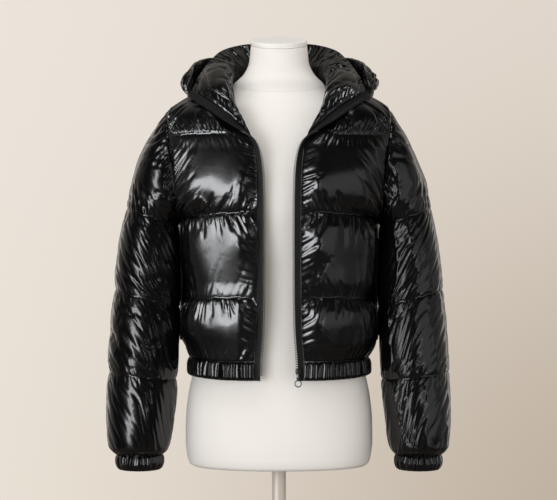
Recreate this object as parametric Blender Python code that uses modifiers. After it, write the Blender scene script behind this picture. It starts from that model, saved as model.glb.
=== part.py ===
"""A cropped hooded puffer jacket, open at the front, worn on a limbless dress form.

Metres, +Z up, +X to the viewer's right, the open front faces -Y. The floor is z = 0 and
the stand's pole is the Z axis. Right and left are the wearer's, so right is at -X.
"""

import math

import bpy
import numpy as np

# Walls and seams
WALL = 0.002            # shell, padding and lining pressed together at a seam
GAP = 0.0003            # between two pieces that are sewn together
ROWS = (0.0, 0.12, 0.35, 0.65, 0.88)   # rows of points in one quilted channel
FRONT_COLUMNS = 11      # of points, from the zip to the side seam
PUFF_FULLNESS = 0.55    # below 1 the channels are blunt, as packed down is

# How far each part's padding stands out of its seams
BODY_PUFF = 0.014
YOKE_PUFF = 0.0075
CAP_PUFF = 0.014
SLEEVE_PUFF = 0.0075
COLLAR_PUFF = 0.026
HOOD_PUFF = 0.011
# The padding is thinner beside the zip and the side seam: share of its height left there,
# and the share of the panel's width over which it fills out.
ZIP_PUFF, ZIP_REACH = 0.35, 0.16
NECK_PUFF, NECK_REACH = 0.05, 0.45
SIDE_PUFF, SIDE_REACH = 0.6, 0.16
CAP_LENGTH = 0.15       # a sleeve's first channel is at its fullest where it is this long

# Elastic bands
HEM_GATHERS = 80
CUFF_GATHERS = 22
GATHER_DEPTH = 0.0022
HEM_BOTTOM = 0.9540
HEM_HALF_WIDTH = 0.153
HEM_SIDE_RISE = 0.0035  # the hem's bottom is this much higher at the sides
CUFF_TOP, CUFF_BOTTOM = 0.8205, 0.7965
CUFF_Y = -0.018
CUFF_STAND = 0.3        # the cuff follows the band's section this far

# Pocket welts
WELT_LEVELS = (0.35, 0.65, 0.88, 1.0, 1.12, 1.35, 1.5)
WELT_SHARES = (0.79, 0.86, 0.93)
WELT_THICK = 0.002
WELT_LIFT = 0.0009
WELT_LEAST = 0.008      # the welt bridges the quilting seam at this height

# Zip
TAPE_WIDTH = 0.0100
TAPE_THICK = 0.0013
TAPE_SHARES = (0, 0.5, 1)
SLIDER = (0.0090, 0.0032, 0.0125)
SLIDER_Z = 0.9690
SLIDER_ASIDE = 0.0005   # from the tape's edge, away from the middle
STOP = (0.0075, 0.0028, 0.0050)
STOP_Z = 0.9590
STOP_ASIDE = 0.001      # from the slider, away from the middle
HINGE_Z = 0.9665
HINGE_OUT = 0.0014      # from the slider's face
RING_RADIUS = 0.0053
RING_THICK = 0.0009
RING_DROP = 0.0165
TAB = (0.0034, 0.0014, 0.0125)
TAB_DROP = 0.0052

# Dress form and stand
NECK_RADIUS = 0.0483
NECK_TILT = math.radians(14.3)
TILT_START = 1456       # mm: the neck starts to lean here
CAP_HEIGHT = 0.0085
CAP_LEDGE = 0.0002
CAP_CENTRE_Z = 1.5225
POLE_RADIUS = 0.012
BASE_RADIUS = 0.170
BASE_THICK = 0.012
TORSO_BOTTOM = 0.8015
TORSO_SIDES = 32
HIP_TOP, HIP_SQUARE = 930, 0.95   # mm: below it the sections are slightly squarer

# Half of the front's sections. Level 0 is the hem seam, 1 and 2 the quilting seams, 3 the
# yoke seam and 4 the shoulder seam. "in" is the zip edge and then the neckline, "out" the
# side seam and then the armhole. Lengths in mm, wrap in degrees.
FRONT = (
    # level, x_in, y_in, z_in, x_out, y_out, z_out, wrap
    (0.00, 41.5, -124, 986.0, 153.0, 0, 987.0, 90),
    (0.50, 37.5, -128, 1038, 160.5, 0, 1033, 90),
    (1.00, 36.3, -131, 1092, 163.5, 0, 1083, 89),
    (1.50, 36.0, -134, 1163, 161.5, 0, 1150, 88),
    (2.00, 36.0, -135, 1233, 168.0, 0, 1220, 86),
    (2.15, 36.2, -135, 1253, 169.5, -36, 1230, 76),
    (2.50, 37.2, -133, 1298, 175.0, -67, 1277, 62),
    (2.80, 41.0, -128, 1337, 182.5, -69, 1330, 56),
    (3.00, 47.5, -121, 1362, 187.0, -61, 1363, 52),
    (3.12, 56.0, -109, 1377, 188.3, -56, 1371, 50),
    (3.35, 70.5, -90, 1403, 190.0, -47, 1385, 44),
    (3.65, 79.0, -52, 1429, 190.5, -28, 1401, 36),
    (4.00, 88.5, 3, 1450.5, 187.0, 0, 1412, 25),
)

# The back's half sections, from the centre back to the side seam and the armhole.
BACK = (
    # level, y_mid, z_mid, x_out, y_out, z_out, wrap
    (0.00, 112, 984.0, 153.0, 0, 987.0, 90),
    (0.50, 113, 1035, 160.5, 0, 1033, 90),
    (1.00, 113, 1089, 163.5, 0, 1083, 89),
    (1.50, 116, 1160, 161.5, 0, 1150, 88),
    (2.00, 119, 1230, 168.0, 0, 1220, 86),
    (2.15, 119, 1251, 169.5, 35, 1230, 76),
    (2.50, 118, 1298, 175.0, 65, 1277, 64),
    (2.80, 114, 1337, 182.5, 67, 1330, 60),
    (3.00, 109, 1362, 187.0, 61, 1363, 56),
)
# The armhole's back edge above the yoke seam
BACK_TOP_EDGE = (
    # level, x, y, z
    (3.00, 187.0, 61, 1363),
    (3.35, 190.0, 46, 1385),
    (3.65, 190.5, 27, 1401),
    (4.00, 187.0, 0, 1412),
)
BACK_SWELL = (0, 9, 12)  # how far the shoulder blades fill out the yoke
# The back's upper edge: the back neck, then the shoulder seam
BACK_UPPER = (
    # share of the half width, x, y, z
    (0.0, 0, 87, 1437),
    (0.1, 22, 84, 1437.5),
    (0.2, 44, 76, 1440),
    (0.3, 64, 60, 1444),
    (0.4, 80, 36, 1449),
    (0.5, 88.5, 3, 1450.5),
    (1.0, 187, 0, 1412),
)

# Sleeve rings. Level 0 is the armhole, 1 to 3 the quilting seams, 4 the cuff seam.
SLEEVE = (
    # level, x_outer, z_outer, x_inner, z_inner, half_depth, y_mid
    (1.0, 259.5, 1241, 178.5, 1212, 56, 0),
    (1.5, 268.0, 1172, 179.5, 1143, 60, -2),
    (2.0, 279.0, 1103, 176.5, 1073, 58, -4),
    (2.5, 281.5, 1033, 179.5, 1012, 61, -7),
    (3.0, 289.0, 963, 178.5, 950, 60, -10),
    (3.5, 287.0, 893, 187.0, 881, 59, -14),
    (3.88, 287.0, 838, 192.5, 834, 56, -17),
    (4.0, 277.0, 821, 199.0, 821, 42, -18),
)
CUFF = (
    # share of its height, x_outer, x_inner, half_depth
    (0.0, 276.5, 199.5, 41),
    (0.5, 276.0, 200.0, 42),
    (1.0, 272.0, 204.0, 38),
)

# The collar, from the bottom of the turned-out front end (column 0) over the shoulder
# (column 5) to the centre back (column 10): its upper edge, and how far the lower part of
# the section bows forward.
COLLAR_CREST = (
    # column, x, y, z, bow
    (0, 146.0, -60, 1440, 17),
    (1, 144.0, -50, 1448, 13),
    (2, 139.5, -37, 1460, 8),
    (3, 133.0, -22, 1472, 3),
    (4, 125.0, -6, 1487, 0),
    (5, 115.0, 11, 1501, 0),
    (6, 100.5, 33, 1516, 0),
    (7, 82.0, 58, 1526, 0),
    (8, 58.0, 80, 1533, 0),
    (9, 30.0, 92, 1536, 0),
    (10, 0.0, 96, 1536, 0),
)

# The hood, hanging open down the back: the lowest point, the outermost point and the rim
# of each section, and how high on the collar it is sewn.
HOOD = (
    # column, root, x_near, y_near, z_near, x_low, y_low, z_low, x_out, y_out, z_out,
    # x_rim, y_rim, z_rim
    (0, 0.88, 143, -57, 1431, 151, -50, 1433, 156, -44, 1445, 151, -45, 1459),
    (2, 0.50, 122, -49, 1436, 148, -36, 1433, 157, -28, 1450, 149, -22, 1476),
    (4, 0.38, 116, -6, 1461, 150, 4, 1442, 157, 12, 1457, 150, 18, 1489),
    (5, 0.34, 112, 24, 1464, 147, 38, 1438, 156, 42, 1452, 147, 46, 1497),
    (6, 0.34, 104, 62, 1461, 130, 94, 1420, 152, 90, 1438, 134, 80, 1507),
    (7, 0.34, 90, 98, 1450, 110, 146, 1356, 139, 142, 1392, 119, 112, 1513),
    (8, 0.34, 64, 124, 1438, 78, 162, 1310, 106, 186, 1358, 90, 146, 1515),
    (10, 0.34, 0, 138, 1430, 0, 164, 1284, 0, 212, 1338, 0, 178, 1511),
)
HOOD_SPLIT = 7.6        # column of the seams between side and centre panels

# Which way the zip tape lies from its sewn edge, up the front and round the collar's end
TAPE_TURN = (
    # run, x, y, z, distance from the edge in mm
    (-1.0, -1.0, -0.15, 0.0, 0.6),
    (2.30, -1.0, -0.20, 0.0, 0.6),
    (2.75, -0.80, -0.60, 0.0, 2.2),
    (3.00, -0.25, -1.0, -0.10, 4.0),
    (3.15, 0.25, -0.80, -0.45, 2.5),
    (3.50, 0.52, -0.40, -0.72, 0.8),
    (4.00, 0.62, -0.25, -0.72, 0.6),
)

# The torso's sections
TORSO = (
    # z, half_width, front, back
    (801.5, 148, 100, 100),
    (806, 154, 105, 105),
    (820, 158, 108, 108),
    (845, 160.5, 109, 110),
    (880, 160, 108, 110),
    (920, 156, 105, 106),
    (960, 148, 101, 99),
    (1010, 137, 99, 94),
    (1060, 127, 98, 90),
    (1120, 125, 100, 90),
    (1180, 131, 108, 94),
    (1240, 139, 116, 98),
    (1290, 146, 112, 98),
    (1335, 152, 101, 94),
    (1370, 154, 88, 86),
    (1395, 147, 78, 74),
    (1413, 133, 70, 62),
    (1428, 107, 56, 53),
    (1442, 87, 51, 50),
    (1456, 76.5, 53, 50),
    (1473, 60, 50, 50),
    (1492, 51.5, 49, 49),
    (1522, 48.3, 48.3, 48.3),
)

# The elastic bands' section, from the seam down
BAND_SECTION = (
    # share of the height, how far out of the seam, share of the gathers' depth
    (0.0, 0.0008, 0.5),
    (0.4, 0.0030, 1.0),
    (0.8, 0.0030, 1.0),
    (1.0, 0.0008, 0.6),
)

COLLAR_SEAT = (
    # column, distance from the neck seam in mm
    (0, 3.8),
    (2, 3.3),
    (5, 1.8),
    (10, 1.3),
)
COLLAR_SECTION = (
    # share up the collar, share of the padding's height
    (0.0, 0.10),
    (0.1, 0.55),
    (0.25, 0.90),
    (0.42, 1.00),
    (0.60, 0.88),
    (0.78, 0.60),
    (0.93, 0.22),
    (1.0, 0.06),
)
COLLAR_FULLNESS = (
    # column, share of the padding's height
    (0, 0.10),
    (0.5, 0.45),
    (1.5, 0.85),
    (3.5, 1.10),
    (5, 1.05),
    (7, 0.80),
    (10, 0.70),
)
NECK_MIDDLE = (0, -0.05, 1.50)  # a point in the collar's hollow

HOOD_SECTION = (
    # share from the collar to the rim, share of the padding's height
    (0.0, 0.0),
    (0.08, 0.2),
    (0.17, 0.3),
    (0.28, 0.3),
    (0.40, 0.2),
    (0.50, 0.1),
    (0.60, 0.7),
    (0.70, 1.0),
    (0.80, 1.0),
    (0.91, 0.7),
    (1.0, 0.15),
)
HOOD_HALF = (
    # column, share of the padding's height
    (0.0, 0.1),
    (0.7, 0.5),
    (1.4, 0.7),
    (2.2, 0.8),
    (3.0, 0.9),
    (3.8, 1.0),
    (4.6, 1.0),
    (5.4, 1.0),
    (6.2, 0.9),
    (7.0, 0.7),
    (HOOD_SPLIT, 0.0),
    (8.2, 0.7),
    (8.8, 1.0),
    (9.4, 1.0),
    (10.0, 1.0),
)
HOOD_OFF_COLLAR = 5 * GAP

# How far the zip tape's line is from what it is sewn to
TAPE_OFF_HEM = 0.0008
TAPE_OFF_FRONT = 0.0005
TAPE_OFF_COLLAR = 0.0003

# Colour, roughness and metallic of each material
NYLON = ((0.012, 0.012, 0.014), 0.22, 0.0)
TAPE = ((0.020, 0.020, 0.022), 0.55, 0.0)
GUNMETAL = ((0.080, 0.080, 0.085), 0.30, 1.0)
RING_METAL = ((0.400, 0.400, 0.410), 0.35, 1.0)
FORM_WHITE = ((0.820, 0.800, 0.770), 0.60, 0.0)
STAND_GREY = ((0.560, 0.530, 0.500), 0.45, 0.0)


# Curves and grids of points
def read(table, place):
    """The table's other columns at this place, on a smooth curve that stays between its rows."""
    rows = np.array(table, float)
    x, y = rows[:, 0], rows[:, 1:]
    place = min(max(place, x[0]), x[-1])
    i = min(int(np.searchsorted(x, place, side="right")) - 1, len(x) - 2)
    slope = np.diff(y, axis=0) / np.diff(x)[:, None]
    product = slope[:-1] * slope[1:]
    tangent = np.zeros_like(y)
    np.divide(2 * product, slope[:-1] + slope[1:], out=tangent[1:-1], where=product > 0)
    tangent[0], tangent[-1] = slope[0], slope[-1]
    step = x[i + 1] - x[i]
    t = (place - x[i]) / step
    return (
        (1 + 2 * t) * (1 - t) ** 2 * y[i]
        + t * (1 - t) ** 2 * step * tangent[i]
        + t * t * (3 - 2 * t) * y[i + 1]
        - t * t * (1 - t) * step * tangent[i + 1]
    )


def curve_through(points, share):
    """A point on a smooth curve through these points, evenly timed."""
    rows = [(i / (len(points) - 1), *point) for i, point in enumerate(points)]
    return read(rows, share)


def along_path(path, count):
    """Points evenly spaced along a line of points."""
    steps = np.linalg.norm(np.diff(path, axis=0), axis=1)
    travelled = np.concatenate([[0], np.cumsum(steps)])
    wanted = np.linspace(0, travelled[-1], count)
    return np.stack([np.interp(wanted, travelled, path[:, i]) for i in range(3)], axis=1)


def ramp(value):
    value = min(max(value, 0.0), 1.0)
    return value * value * (3 - 2 * value)


def unit(vectors):
    return vectors / (np.linalg.norm(vectors, axis=-1, keepdims=True) + 1e-12)


def normals(grid, outside, around=False):
    """Unit normals of a grid of points, all on the side that "outside" points to."""
    if around:
        wide = np.concatenate([grid[:, -1:], grid, grid[:, :1]], axis=1)
        along = (wide[:, 2:] - wide[:, :-2]) / 2
    else:
        along = np.gradient(grid, axis=1)
    normal = unit(np.cross(along, np.gradient(grid, axis=0)))
    return -normal if (normal * outside(grid)).sum() < 0 else normal


def away_from_axis(grid):
    """From the body's middle outwards."""
    return grid * (1, 1, 0)


# Quilted channels
def levels(first, last):
    """The rows' levels from one seam to another, closer together near each seam."""
    return [seam + part for seam in range(first, last) for part in ROWS] + [float(last)]


def puff(level):
    """How far the padding stands out at this level, as a share of its most."""
    part = level % 1.0
    return math.sin(math.pi * part) ** PUFF_FULLNESS if part > 1e-6 else 0.0


def body_puff(level):
    return puff(level) * (YOKE_PUFF if level > 3 else BODY_PUFF)


def side_puff(level, inwards):
    """The share of the padding's height left at this share of the width from the side."""
    least = SIDE_PUFF if level < 2 else 0.0
    return least + (1 - least) * ramp(inwards / SIDE_REACH)


def across_and_deep(share, wrap):
    """How far across and how far back a section has come at this share of its turn."""
    turn = math.radians(wrap)
    return (
        math.sin(share * turn) / math.sin(turn),
        (1 - math.cos(share * turn)) / (1 - math.cos(turn)),
    )


# Solids
def wall_mesh(outer, inner, around=False):
    """Points and faces of a closed wall between two matching grids of points."""
    rows, columns = outer.shape[:2]
    points = np.concatenate([outer.reshape(-1, 3), inner.reshape(-1, 3)])
    under = rows * columns
    faces = []
    last = columns if around else columns - 1
    for r in range(rows - 1):
        for c in range(last):
            d = (c + 1) % columns
            a, b = r * columns + c, r * columns + d
            e, f = a + columns, b + columns
            faces.append((a, b, f, e))
            faces.append((under + a, under + e, under + f, under + b))
    for c in range(last):
        d = (c + 1) % columns
        faces.append((c, under + c, under + d, d))
        a, b = (rows - 1) * columns + c, (rows - 1) * columns + d
        faces.append((a, b, under + b, under + a))
    if not around:
        for r in range(rows - 1):
            a, b = r * columns, (r + 1) * columns
            faces.append((a, b, under + b, under + a))
            a, b = a + columns - 1, b + columns - 1
            faces.append((a, under + a, under + b, b))
    return points, faces


def signed_volume(points, faces):
    total = 0.0
    for face in faces:
        corners = [points[i] for i in face]
        for i in range(1, len(corners) - 1):
            total += np.dot(corners[0], np.cross(corners[i], corners[i + 1]))
    return total


def material(name, colour, roughness, metallic):
    made = bpy.data.materials.new(name)
    made.use_nodes = True
    shader = made.node_tree.nodes["Principled BSDF"]
    shader.inputs["Base Color"].default_value = (*colour, 1)
    shader.inputs["Roughness"].default_value = roughness
    shader.inputs["Metallic"].default_value = metallic
    made.diffuse_color = (*colour, 1)
    return made


def move_to(collection, obj):
    for other in list(obj.users_collection):
        other.objects.unlink(obj)
    collection.objects.link(obj)


def finish(obj, look):
    """Puts an object in the model's collection with a material of its own."""
    move_to(COLLECTION, obj)
    obj.data.materials.clear()
    obj.data.materials.append(material(obj.name, *look))
    obj.parent = ROOT
    return obj


def add_mesh(name, points, faces, look):
    """A closed mesh, turned so that its faces point out."""
    if signed_volume(points, faces) < 0:
        faces = [face[::-1] for face in faces]
    mesh = bpy.data.meshes.new(name)
    mesh.from_pydata(points.tolist(), [], faces)
    mesh.update()
    return finish(bpy.data.objects.new(name, mesh), look)


def add_wall(name, outer, inner, look, around=False):
    return add_mesh(name, *wall_mesh(outer, inner, around), look)


def round_edges(obj, width):
    edge = obj.modifiers.new("bevel", "BEVEL")
    edge.width = width
    edge.segments = 2
    edge.limit_method = "ANGLE"


def cube(name, centre, size):
    bpy.ops.mesh.primitive_cube_add(size=1)
    obj = bpy.context.object
    obj.name = obj.data.name = name
    for vertex in obj.data.vertices:
        vertex.co = [centre[i] + vertex.co[i] * size[i] for i in range(3)]
    return obj


def add_cylinder(name, centre, radius, depth, bevel, look, sides):
    bpy.ops.mesh.primitive_cylinder_add(vertices=sides, radius=radius, depth=depth)
    obj = bpy.context.object
    obj.name = obj.data.name = name
    obj.location = centre
    if bevel:
        round_edges(obj, bevel)
    return finish(obj, look)


# An empty scene, with one collection for the model and one for the shapes it is joined from
for old in list(bpy.data.objects):
    bpy.data.objects.remove(old, do_unlink=True)
COLLECTION = bpy.data.collections.new("puffer_jacket_on_dress_form")
bpy.context.scene.collection.children.link(COLLECTION)
ROOT = bpy.data.objects.new("jacket_and_form", None)
COLLECTION.objects.link(ROOT)
CUTTERS = bpy.data.collections.new("cutters")
bpy.context.scene.collection.children.link(CUTTERS)
CUTTERS.hide_render = True


# Fronts, back and sleeves
def front_grids(side):
    """The outer seam surface of one front, its normals and how far its padding stands out."""
    shares = np.linspace(0, 1, FRONT_COLUMNS)
    base = []
    height = []
    for level in levels(0, 4):
        x_in, y_in, z_in, x_out, y_out, z_out, wrap = read(FRONT, level)
        line = []
        for share in shares:
            across, deep = across_and_deep(share, wrap)
            line.append((
                side * (x_in + (x_out - x_in) * across),
                y_in + (y_out - y_in) * deep,
                z_in + (z_out - z_in) * deep,
            ))
        base.append(line)
        least, reach = (ZIP_PUFF, ZIP_REACH) if level < 3 else (NECK_PUFF, NECK_REACH)
        height.append([
            body_puff(level) * side_puff(level, 1 - share)
            * (least + (1 - least) * ramp(share / reach))
            for share in shares
        ])
    base = np.array(base) / 1000
    base[-1, :, 1] -= GAP
    base[base[:, :, 1] > -GAP, 1] = -GAP
    return base, normals(base, away_from_axis), np.array(height)


def back_spot(level, part):
    """A point of the back's seam surface in mm, at this share of its half width."""
    y_mid, z_mid, x_out, y_out, z_out, wrap = read(BACK, level)
    across, deep = across_and_deep(part, wrap)
    point = np.array((
        x_out * across,
        y_mid + (y_out - y_mid) * deep,
        z_mid + (z_out - z_mid) * deep,
    ))
    if level <= 3:
        return point
    rise = level - 3
    swell = math.sin(math.pi * rise) * np.array(BACK_SWELL)
    return point * (1 - rise) + read(BACK_UPPER, part) * rise + swell


def back_grids():
    """The same as front_grids for the back, from its right edge to its left edge."""
    shares = np.linspace(-1, 1, 2 * FRONT_COLUMNS - 1)
    base = []
    height = []
    for level in levels(0, 4):
        to_armhole = 0.0
        if level > 3:
            to_armhole = read(BACK_TOP_EDGE, level) - back_spot(level, 1.0)
        base.append([
            (back_spot(level, abs(share)) + to_armhole * share ** 4)
            * (math.copysign(1, share), 1, 1)
            for share in shares
        ])
        height.append([body_puff(level) * side_puff(level, 1 - abs(share)) for share in shares])
    base = np.array(base) / 1000
    base[-1, :, 1] += GAP
    base[base[:, :, 1] < GAP, 1] = GAP
    return base, normals(base, away_from_axis), np.array(height)


def armhole(front, back_edge):
    """The loop of points round one armhole, from the underarm up the front and down the back."""
    front_edge = front[ARMHOLE_ROW:, -1]
    underarm = (front_edge[0] + back_edge[0]) / 2
    top = (front_edge[-1] + back_edge[-1]) / 2
    return np.array([underarm, *front_edge[1:-1], top, *back_edge[1:-1][::-1]])


def sleeve_grids(side, loop):
    """One sleeve's seam surface, ring by ring, its normals and its padding's height."""
    count = len(loop)
    even = np.arange(count) / count
    steps = np.linalg.norm(np.diff(loop, axis=0, append=loop[:1]), axis=1)
    travelled = np.concatenate([[0], np.cumsum(steps)])[:-1] / steps.sum()

    def ring(level):
        evened = ramp(level - 1)
        turns = 2 * math.pi * (travelled * (1 - evened) + even * evened)
        x_outer, z_outer, x_inner, z_inner, depth, y_mid = read(SLEEVE, level) / 1000
        return np.array([
            (
                side * ((x_outer + x_inner) / 2 - (x_outer - x_inner) / 2 * math.cos(turn)),
                y_mid - depth * math.sin(turn),
                (z_outer + z_inner) / 2 + (z_inner - z_outer) / 2 * math.cos(turn),
            )
            for turn in turns
        ])

    head = ring(1.0)
    length = np.linalg.norm(head - loop, axis=1)
    base = []
    height = []
    for level in levels(0, 4):
        if level < 1:
            base.append(loop * (1 - level) + head * level)
            height.append(CAP_PUFF * puff(level) * np.minimum(1, length / CAP_LENGTH))
        else:
            base.append(ring(level))
            height.append(np.full(count, SLEEVE_PUFF * puff(level)))
    base = np.array(base)
    middle = base.mean(axis=1, keepdims=True)
    return base, normals(base, lambda grid: grid - middle, around=True), np.array(height)


ARMHOLE_ROW = 2 * len(ROWS)     # the armhole starts at the seam of level 2
back_base, back_normal, back_height = back_grids()
back_inner = back_base - back_normal * WALL
fronts = {}
for word, side in (("right", -1), ("left", 1)):
    base, normal, height = front_grids(side)
    fronts[word] = (base, normal, height)
    at_back = (slice(ARMHOLE_ROW, None), 0 if side < 0 else -1)
    loop = armhole(base, back_base[at_back])
    sleeve_base, sleeve_normal, sleeve_height = sleeve_grids(side, loop)
    sleeve_base[:, :, 0] += side * 2 * GAP
    # The walls that meet at the armhole all lean the same way there.
    half = len(loop) // 2
    up_front = np.arange(half + 1)
    up_back = -up_front % len(loop)
    lean = np.zeros_like(loop)
    lean[up_front] += normal[ARMHOLE_ROW:, -1]
    lean[up_back] += back_normal[at_back]
    lean = unit(unit(lean) + sleeve_normal[0])
    inner = base - normal * WALL
    inner[ARMHOLE_ROW:, -1] = base[ARMHOLE_ROW:, -1] - lean[up_front] * WALL
    back_inner[at_back] = back_base[at_back] - lean[up_back] * WALL
    sleeve_inner = sleeve_base - sleeve_normal * WALL
    sleeve_inner[0] = sleeve_base[0] - lean * WALL
    sleeve_outer = sleeve_base + sleeve_normal * sleeve_height[..., None]
    add_wall(f"{word}_front", base + normal * height[..., None], inner, NYLON)
    add_wall(f"{word}_sleeve", sleeve_outer, sleeve_inner, NYLON, around=True)
add_wall("back", back_base + back_normal * back_height[..., None], back_inner, NYLON)


# Elastic hem band and cuffs
def gather(columns):
    """The gathers' wave: every second column of points stands out."""
    return GATHER_DEPTH * (np.arange(columns) % 2)


hem_path = np.concatenate([fronts["right"][0][0], back_base[0], fronts["left"][0][0, ::-1]])
hem_line = along_path(hem_path, 2 * HEM_GATHERS + 1)
hem_line[:, 2] -= 2 * GAP
hem_along = np.gradient(hem_line, axis=0)
hem_out = unit(np.cross(hem_along * (1, 1, 0), (0, 0, 1)))
if (hem_out * hem_line).sum() < 0:
    hem_out = -hem_out
hem_bottom = HEM_BOTTOM + HEM_SIDE_RISE * (np.abs(hem_line[:, 0]) / HEM_HALF_WIDTH) ** 4


def hem_row(share):
    """The band's line at this share of its height, from its seam down."""
    row = hem_line.copy()
    row[:, 2] += (hem_bottom - hem_line[:, 2]) * share
    return row


hem_wave = gather(len(hem_line))
outer = []
inner = []
for share, stand, depth in BAND_SECTION:
    outer.append(hem_row(share) + hem_out * (stand + hem_wave * depth)[:, None])
    inner.append(hem_row(share) - hem_out * WALL)
add_wall("hem_band", np.array(outer), np.array(inner), NYLON)


def cuff_ring(side, share, out):
    """One ring of a cuff, each of its points moved this far out."""
    x_outer, x_inner, half_depth = read(CUFF, share) / 1000
    middle, half = (x_outer + x_inner) / 2, (x_outer - x_inner) / 2
    turns = 2 * math.pi * np.arange(len(out)) / len(out)
    return np.stack([
        side * (middle - (half + out) * np.cos(turns)),
        CUFF_Y - (half_depth + out) * np.sin(turns),
        np.full(len(out), CUFF_TOP - GAP + (CUFF_BOTTOM - CUFF_TOP) * share),
    ], axis=1)


cuff_wave = gather(2 * CUFF_GATHERS)
for word, side in (("right", -1), ("left", 1)):
    outer = []
    inner = []
    for share, stand, depth in BAND_SECTION:
        outer.append(cuff_ring(side, share, stand * CUFF_STAND + cuff_wave * depth))
        inner.append(cuff_ring(side, share, np.full(len(cuff_wave), -WALL)))
    add_wall(f"{word}_cuff", np.array(outer), np.array(inner), NYLON, around=True)


# Collar
COLLAR_SHARES = [share for share, _ in COLLAR_SECTION]


def neckline(side):
    """The neck seam of one half, a point for each half column of the collar."""
    front = fronts["right" if side < 0 else "left"][0][3 * len(ROWS):, 0]
    centre = FRONT_COLUMNS - 1
    to_centre = [back_base[-1, centre + side * i] for i in range(4, -1, -1)]
    whole = np.array([*front, *to_centre])
    columns = np.arange(0, len(whole) - 0.75, 0.5)
    points = [np.interp(columns, range(len(whole)), whole[:, i]) for i in range(3)]
    return columns, np.stack(points, axis=1)


def collar_half(side):
    """The collar's lining surface from its front end to the centre back, and its fullness."""
    columns, seam = neckline(side)
    grid = []
    fullness = []
    for column, root in zip(columns, seam):
        *top, bow = read(COLLAR_CREST, column) / 1000
        top = np.array(top) * (side, 1, 1)
        forward = ramp(1 - column / 3)
        off_seam = np.array((0, -0.8, 0.2)) * forward + np.array((0, 0, 1)) * (1 - forward)
        root = root + off_seam * read(COLLAR_SEAT, column)[0] / 1000
        grid.append([
            root * (1 - share) + top * share
            + np.array((0, -1, 0.2)) * bow * math.sin(math.pi * share)
            for share in COLLAR_SHARES
        ])
        fullness.append(read(COLLAR_FULLNESS, column)[0])
    return np.array(grid), fullness


right_half, right_full = collar_half(-1)
left_half, left_full = collar_half(1)
collar_base = np.concatenate([right_half, left_half[-2::-1]]).transpose(1, 0, 2)
collar_full = np.array(right_full + left_full[-2::-1])
collar_lining = normals(collar_base, lambda grid: np.array(NECK_MIDDLE) - grid)
collar_section = np.array([part for _, part in COLLAR_SECTION])
collar_height = COLLAR_PUFF * collar_section[:, None] * collar_full
collar_shell = collar_base - collar_lining * WALL
add_wall("collar", collar_base + collar_lining * collar_height[..., None], collar_shell, NYLON)


# Hood
def collar_at(side, column, share):
    """A point just off the collar's outer side, with the direction away from it."""
    whole = 2 * column if side < 0 else collar_base.shape[1] - 1 - 2 * column
    low = int(math.floor(whole))
    high = min(low + 1, collar_base.shape[1] - 1)
    part = whole - low

    def mix(grid):
        line = grid[:, low] * (1 - part) + grid[:, high] * part
        return np.array([np.interp(share, COLLAR_SHARES, line[:, i]) for i in range(3)])

    away = -mix(collar_lining)
    return mix(collar_shell) + away * HOOD_OFF_COLLAR, away


def hood_line(side, column):
    """The hood's lining from the seam on the collar to the rim, and the way off the collar."""
    share, *rest = read(HOOD, column)
    root, away = collar_at(side, column, share)
    turns = [np.array(rest[i:i + 3]) / 1000 * (side, 1, 1) for i in (0, 3, 6, 9)]
    return [curve_through((root, *turns), share) for share, _ in HOOD_SECTION], away


hood_columns = [(-1, *row) for row in HOOD_HALF] + [(1, *row) for row in HOOD_HALF[-2::-1]]
hood_lines = [hood_line(side, column) for side, column, _ in hood_columns]
hood_base = np.array([line for line, _ in hood_lines]).transpose(1, 0, 2)
hood_away = np.array([away for _, away in hood_lines])
hood_out = normals(hood_base, lambda grid: grid - (grid[:1] + grid[-1:]) / 2)
# The sewn edge's thickness lies along the collar.
hood_out[0] -= (hood_out[0] * hood_away).sum(axis=1, keepdims=True) * hood_away
hood_out[0] = unit(hood_out[0])
hood_full = np.array([full for _, _, full in hood_columns])
hood_section = np.array([part for _, part in HOOD_SECTION])
hood_height = HOOD_PUFF * hood_section[:, None] * hood_full
hood_along = unit(np.gradient(hood_base, axis=1))
right_split = [column for column, _ in HOOD_HALF].index(HOOD_SPLIT)
left_split = len(hood_columns) - 1 - right_split
for name, first, last in (
    ("hood_right_side", 0, right_split),
    ("hood_centre", right_split, left_split),
    ("hood_left_side", left_split, len(hood_columns) - 1),
):
    base = hood_base[:, first:last + 1].copy()
    if first:
        base[:, 0] += hood_along[:, first] * GAP / 2
    if last < len(hood_columns) - 1:
        base[:, -1] -= hood_along[:, last] * GAP / 2
    normal = hood_out[:, first:last + 1]
    height = hood_height[:, first:last + 1, None]
    add_wall(name, base + normal * height, base - normal * WALL, NYLON)


# Zip tapes
def tape_line(side):
    """The edge that each tape is sewn to, from the hem's bottom to the collar's corner."""
    base, normal, _ = fronts["right" if side < 0 else "left"]
    end = 0 if side < 0 else -1
    rows = [
        (-share, hem_row(share)[end] + hem_out[end] * TAPE_OFF_HEM)
        for share in (1.0, 0.5, 0.1)
    ]
    rows += [
        (level, base[i, 0] - normal[i, 0] * TAPE_OFF_FRONT)
        for i, level in enumerate(levels(0, 3))
    ]
    rows += [
        (3 + share, point - lining * TAPE_OFF_COLLAR)
        for share, point, lining in zip(
            COLLAR_SHARES[1:], collar_base[1:, end], collar_lining[1:, end]
        )
    ]
    return rows


def tape_grids(side):
    middle = []
    for run, point in tape_line(side):
        *turn, apart = read(TAPE_TURN, run)
        across = unit(np.array(turn) * (side, 1, 1))
        middle.append([
            point + across * (apart / 1000 + TAPE_WIDTH * share) for share in TAPE_SHARES
        ])
    middle = np.array(middle)
    face = unit(np.cross(np.gradient(middle, axis=0), np.gradient(middle, axis=1)))
    if face[4, 1, 1] > 0:
        face = -face
    return middle + face * TAPE_THICK / 2, middle - face * TAPE_THICK / 2


for word, side in (("right", -1), ("left", 1)):
    tape_front, tape_rear = tape_grids(side)
    add_wall(f"{word}_zip_tape", tape_front, tape_rear, TAPE)


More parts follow.
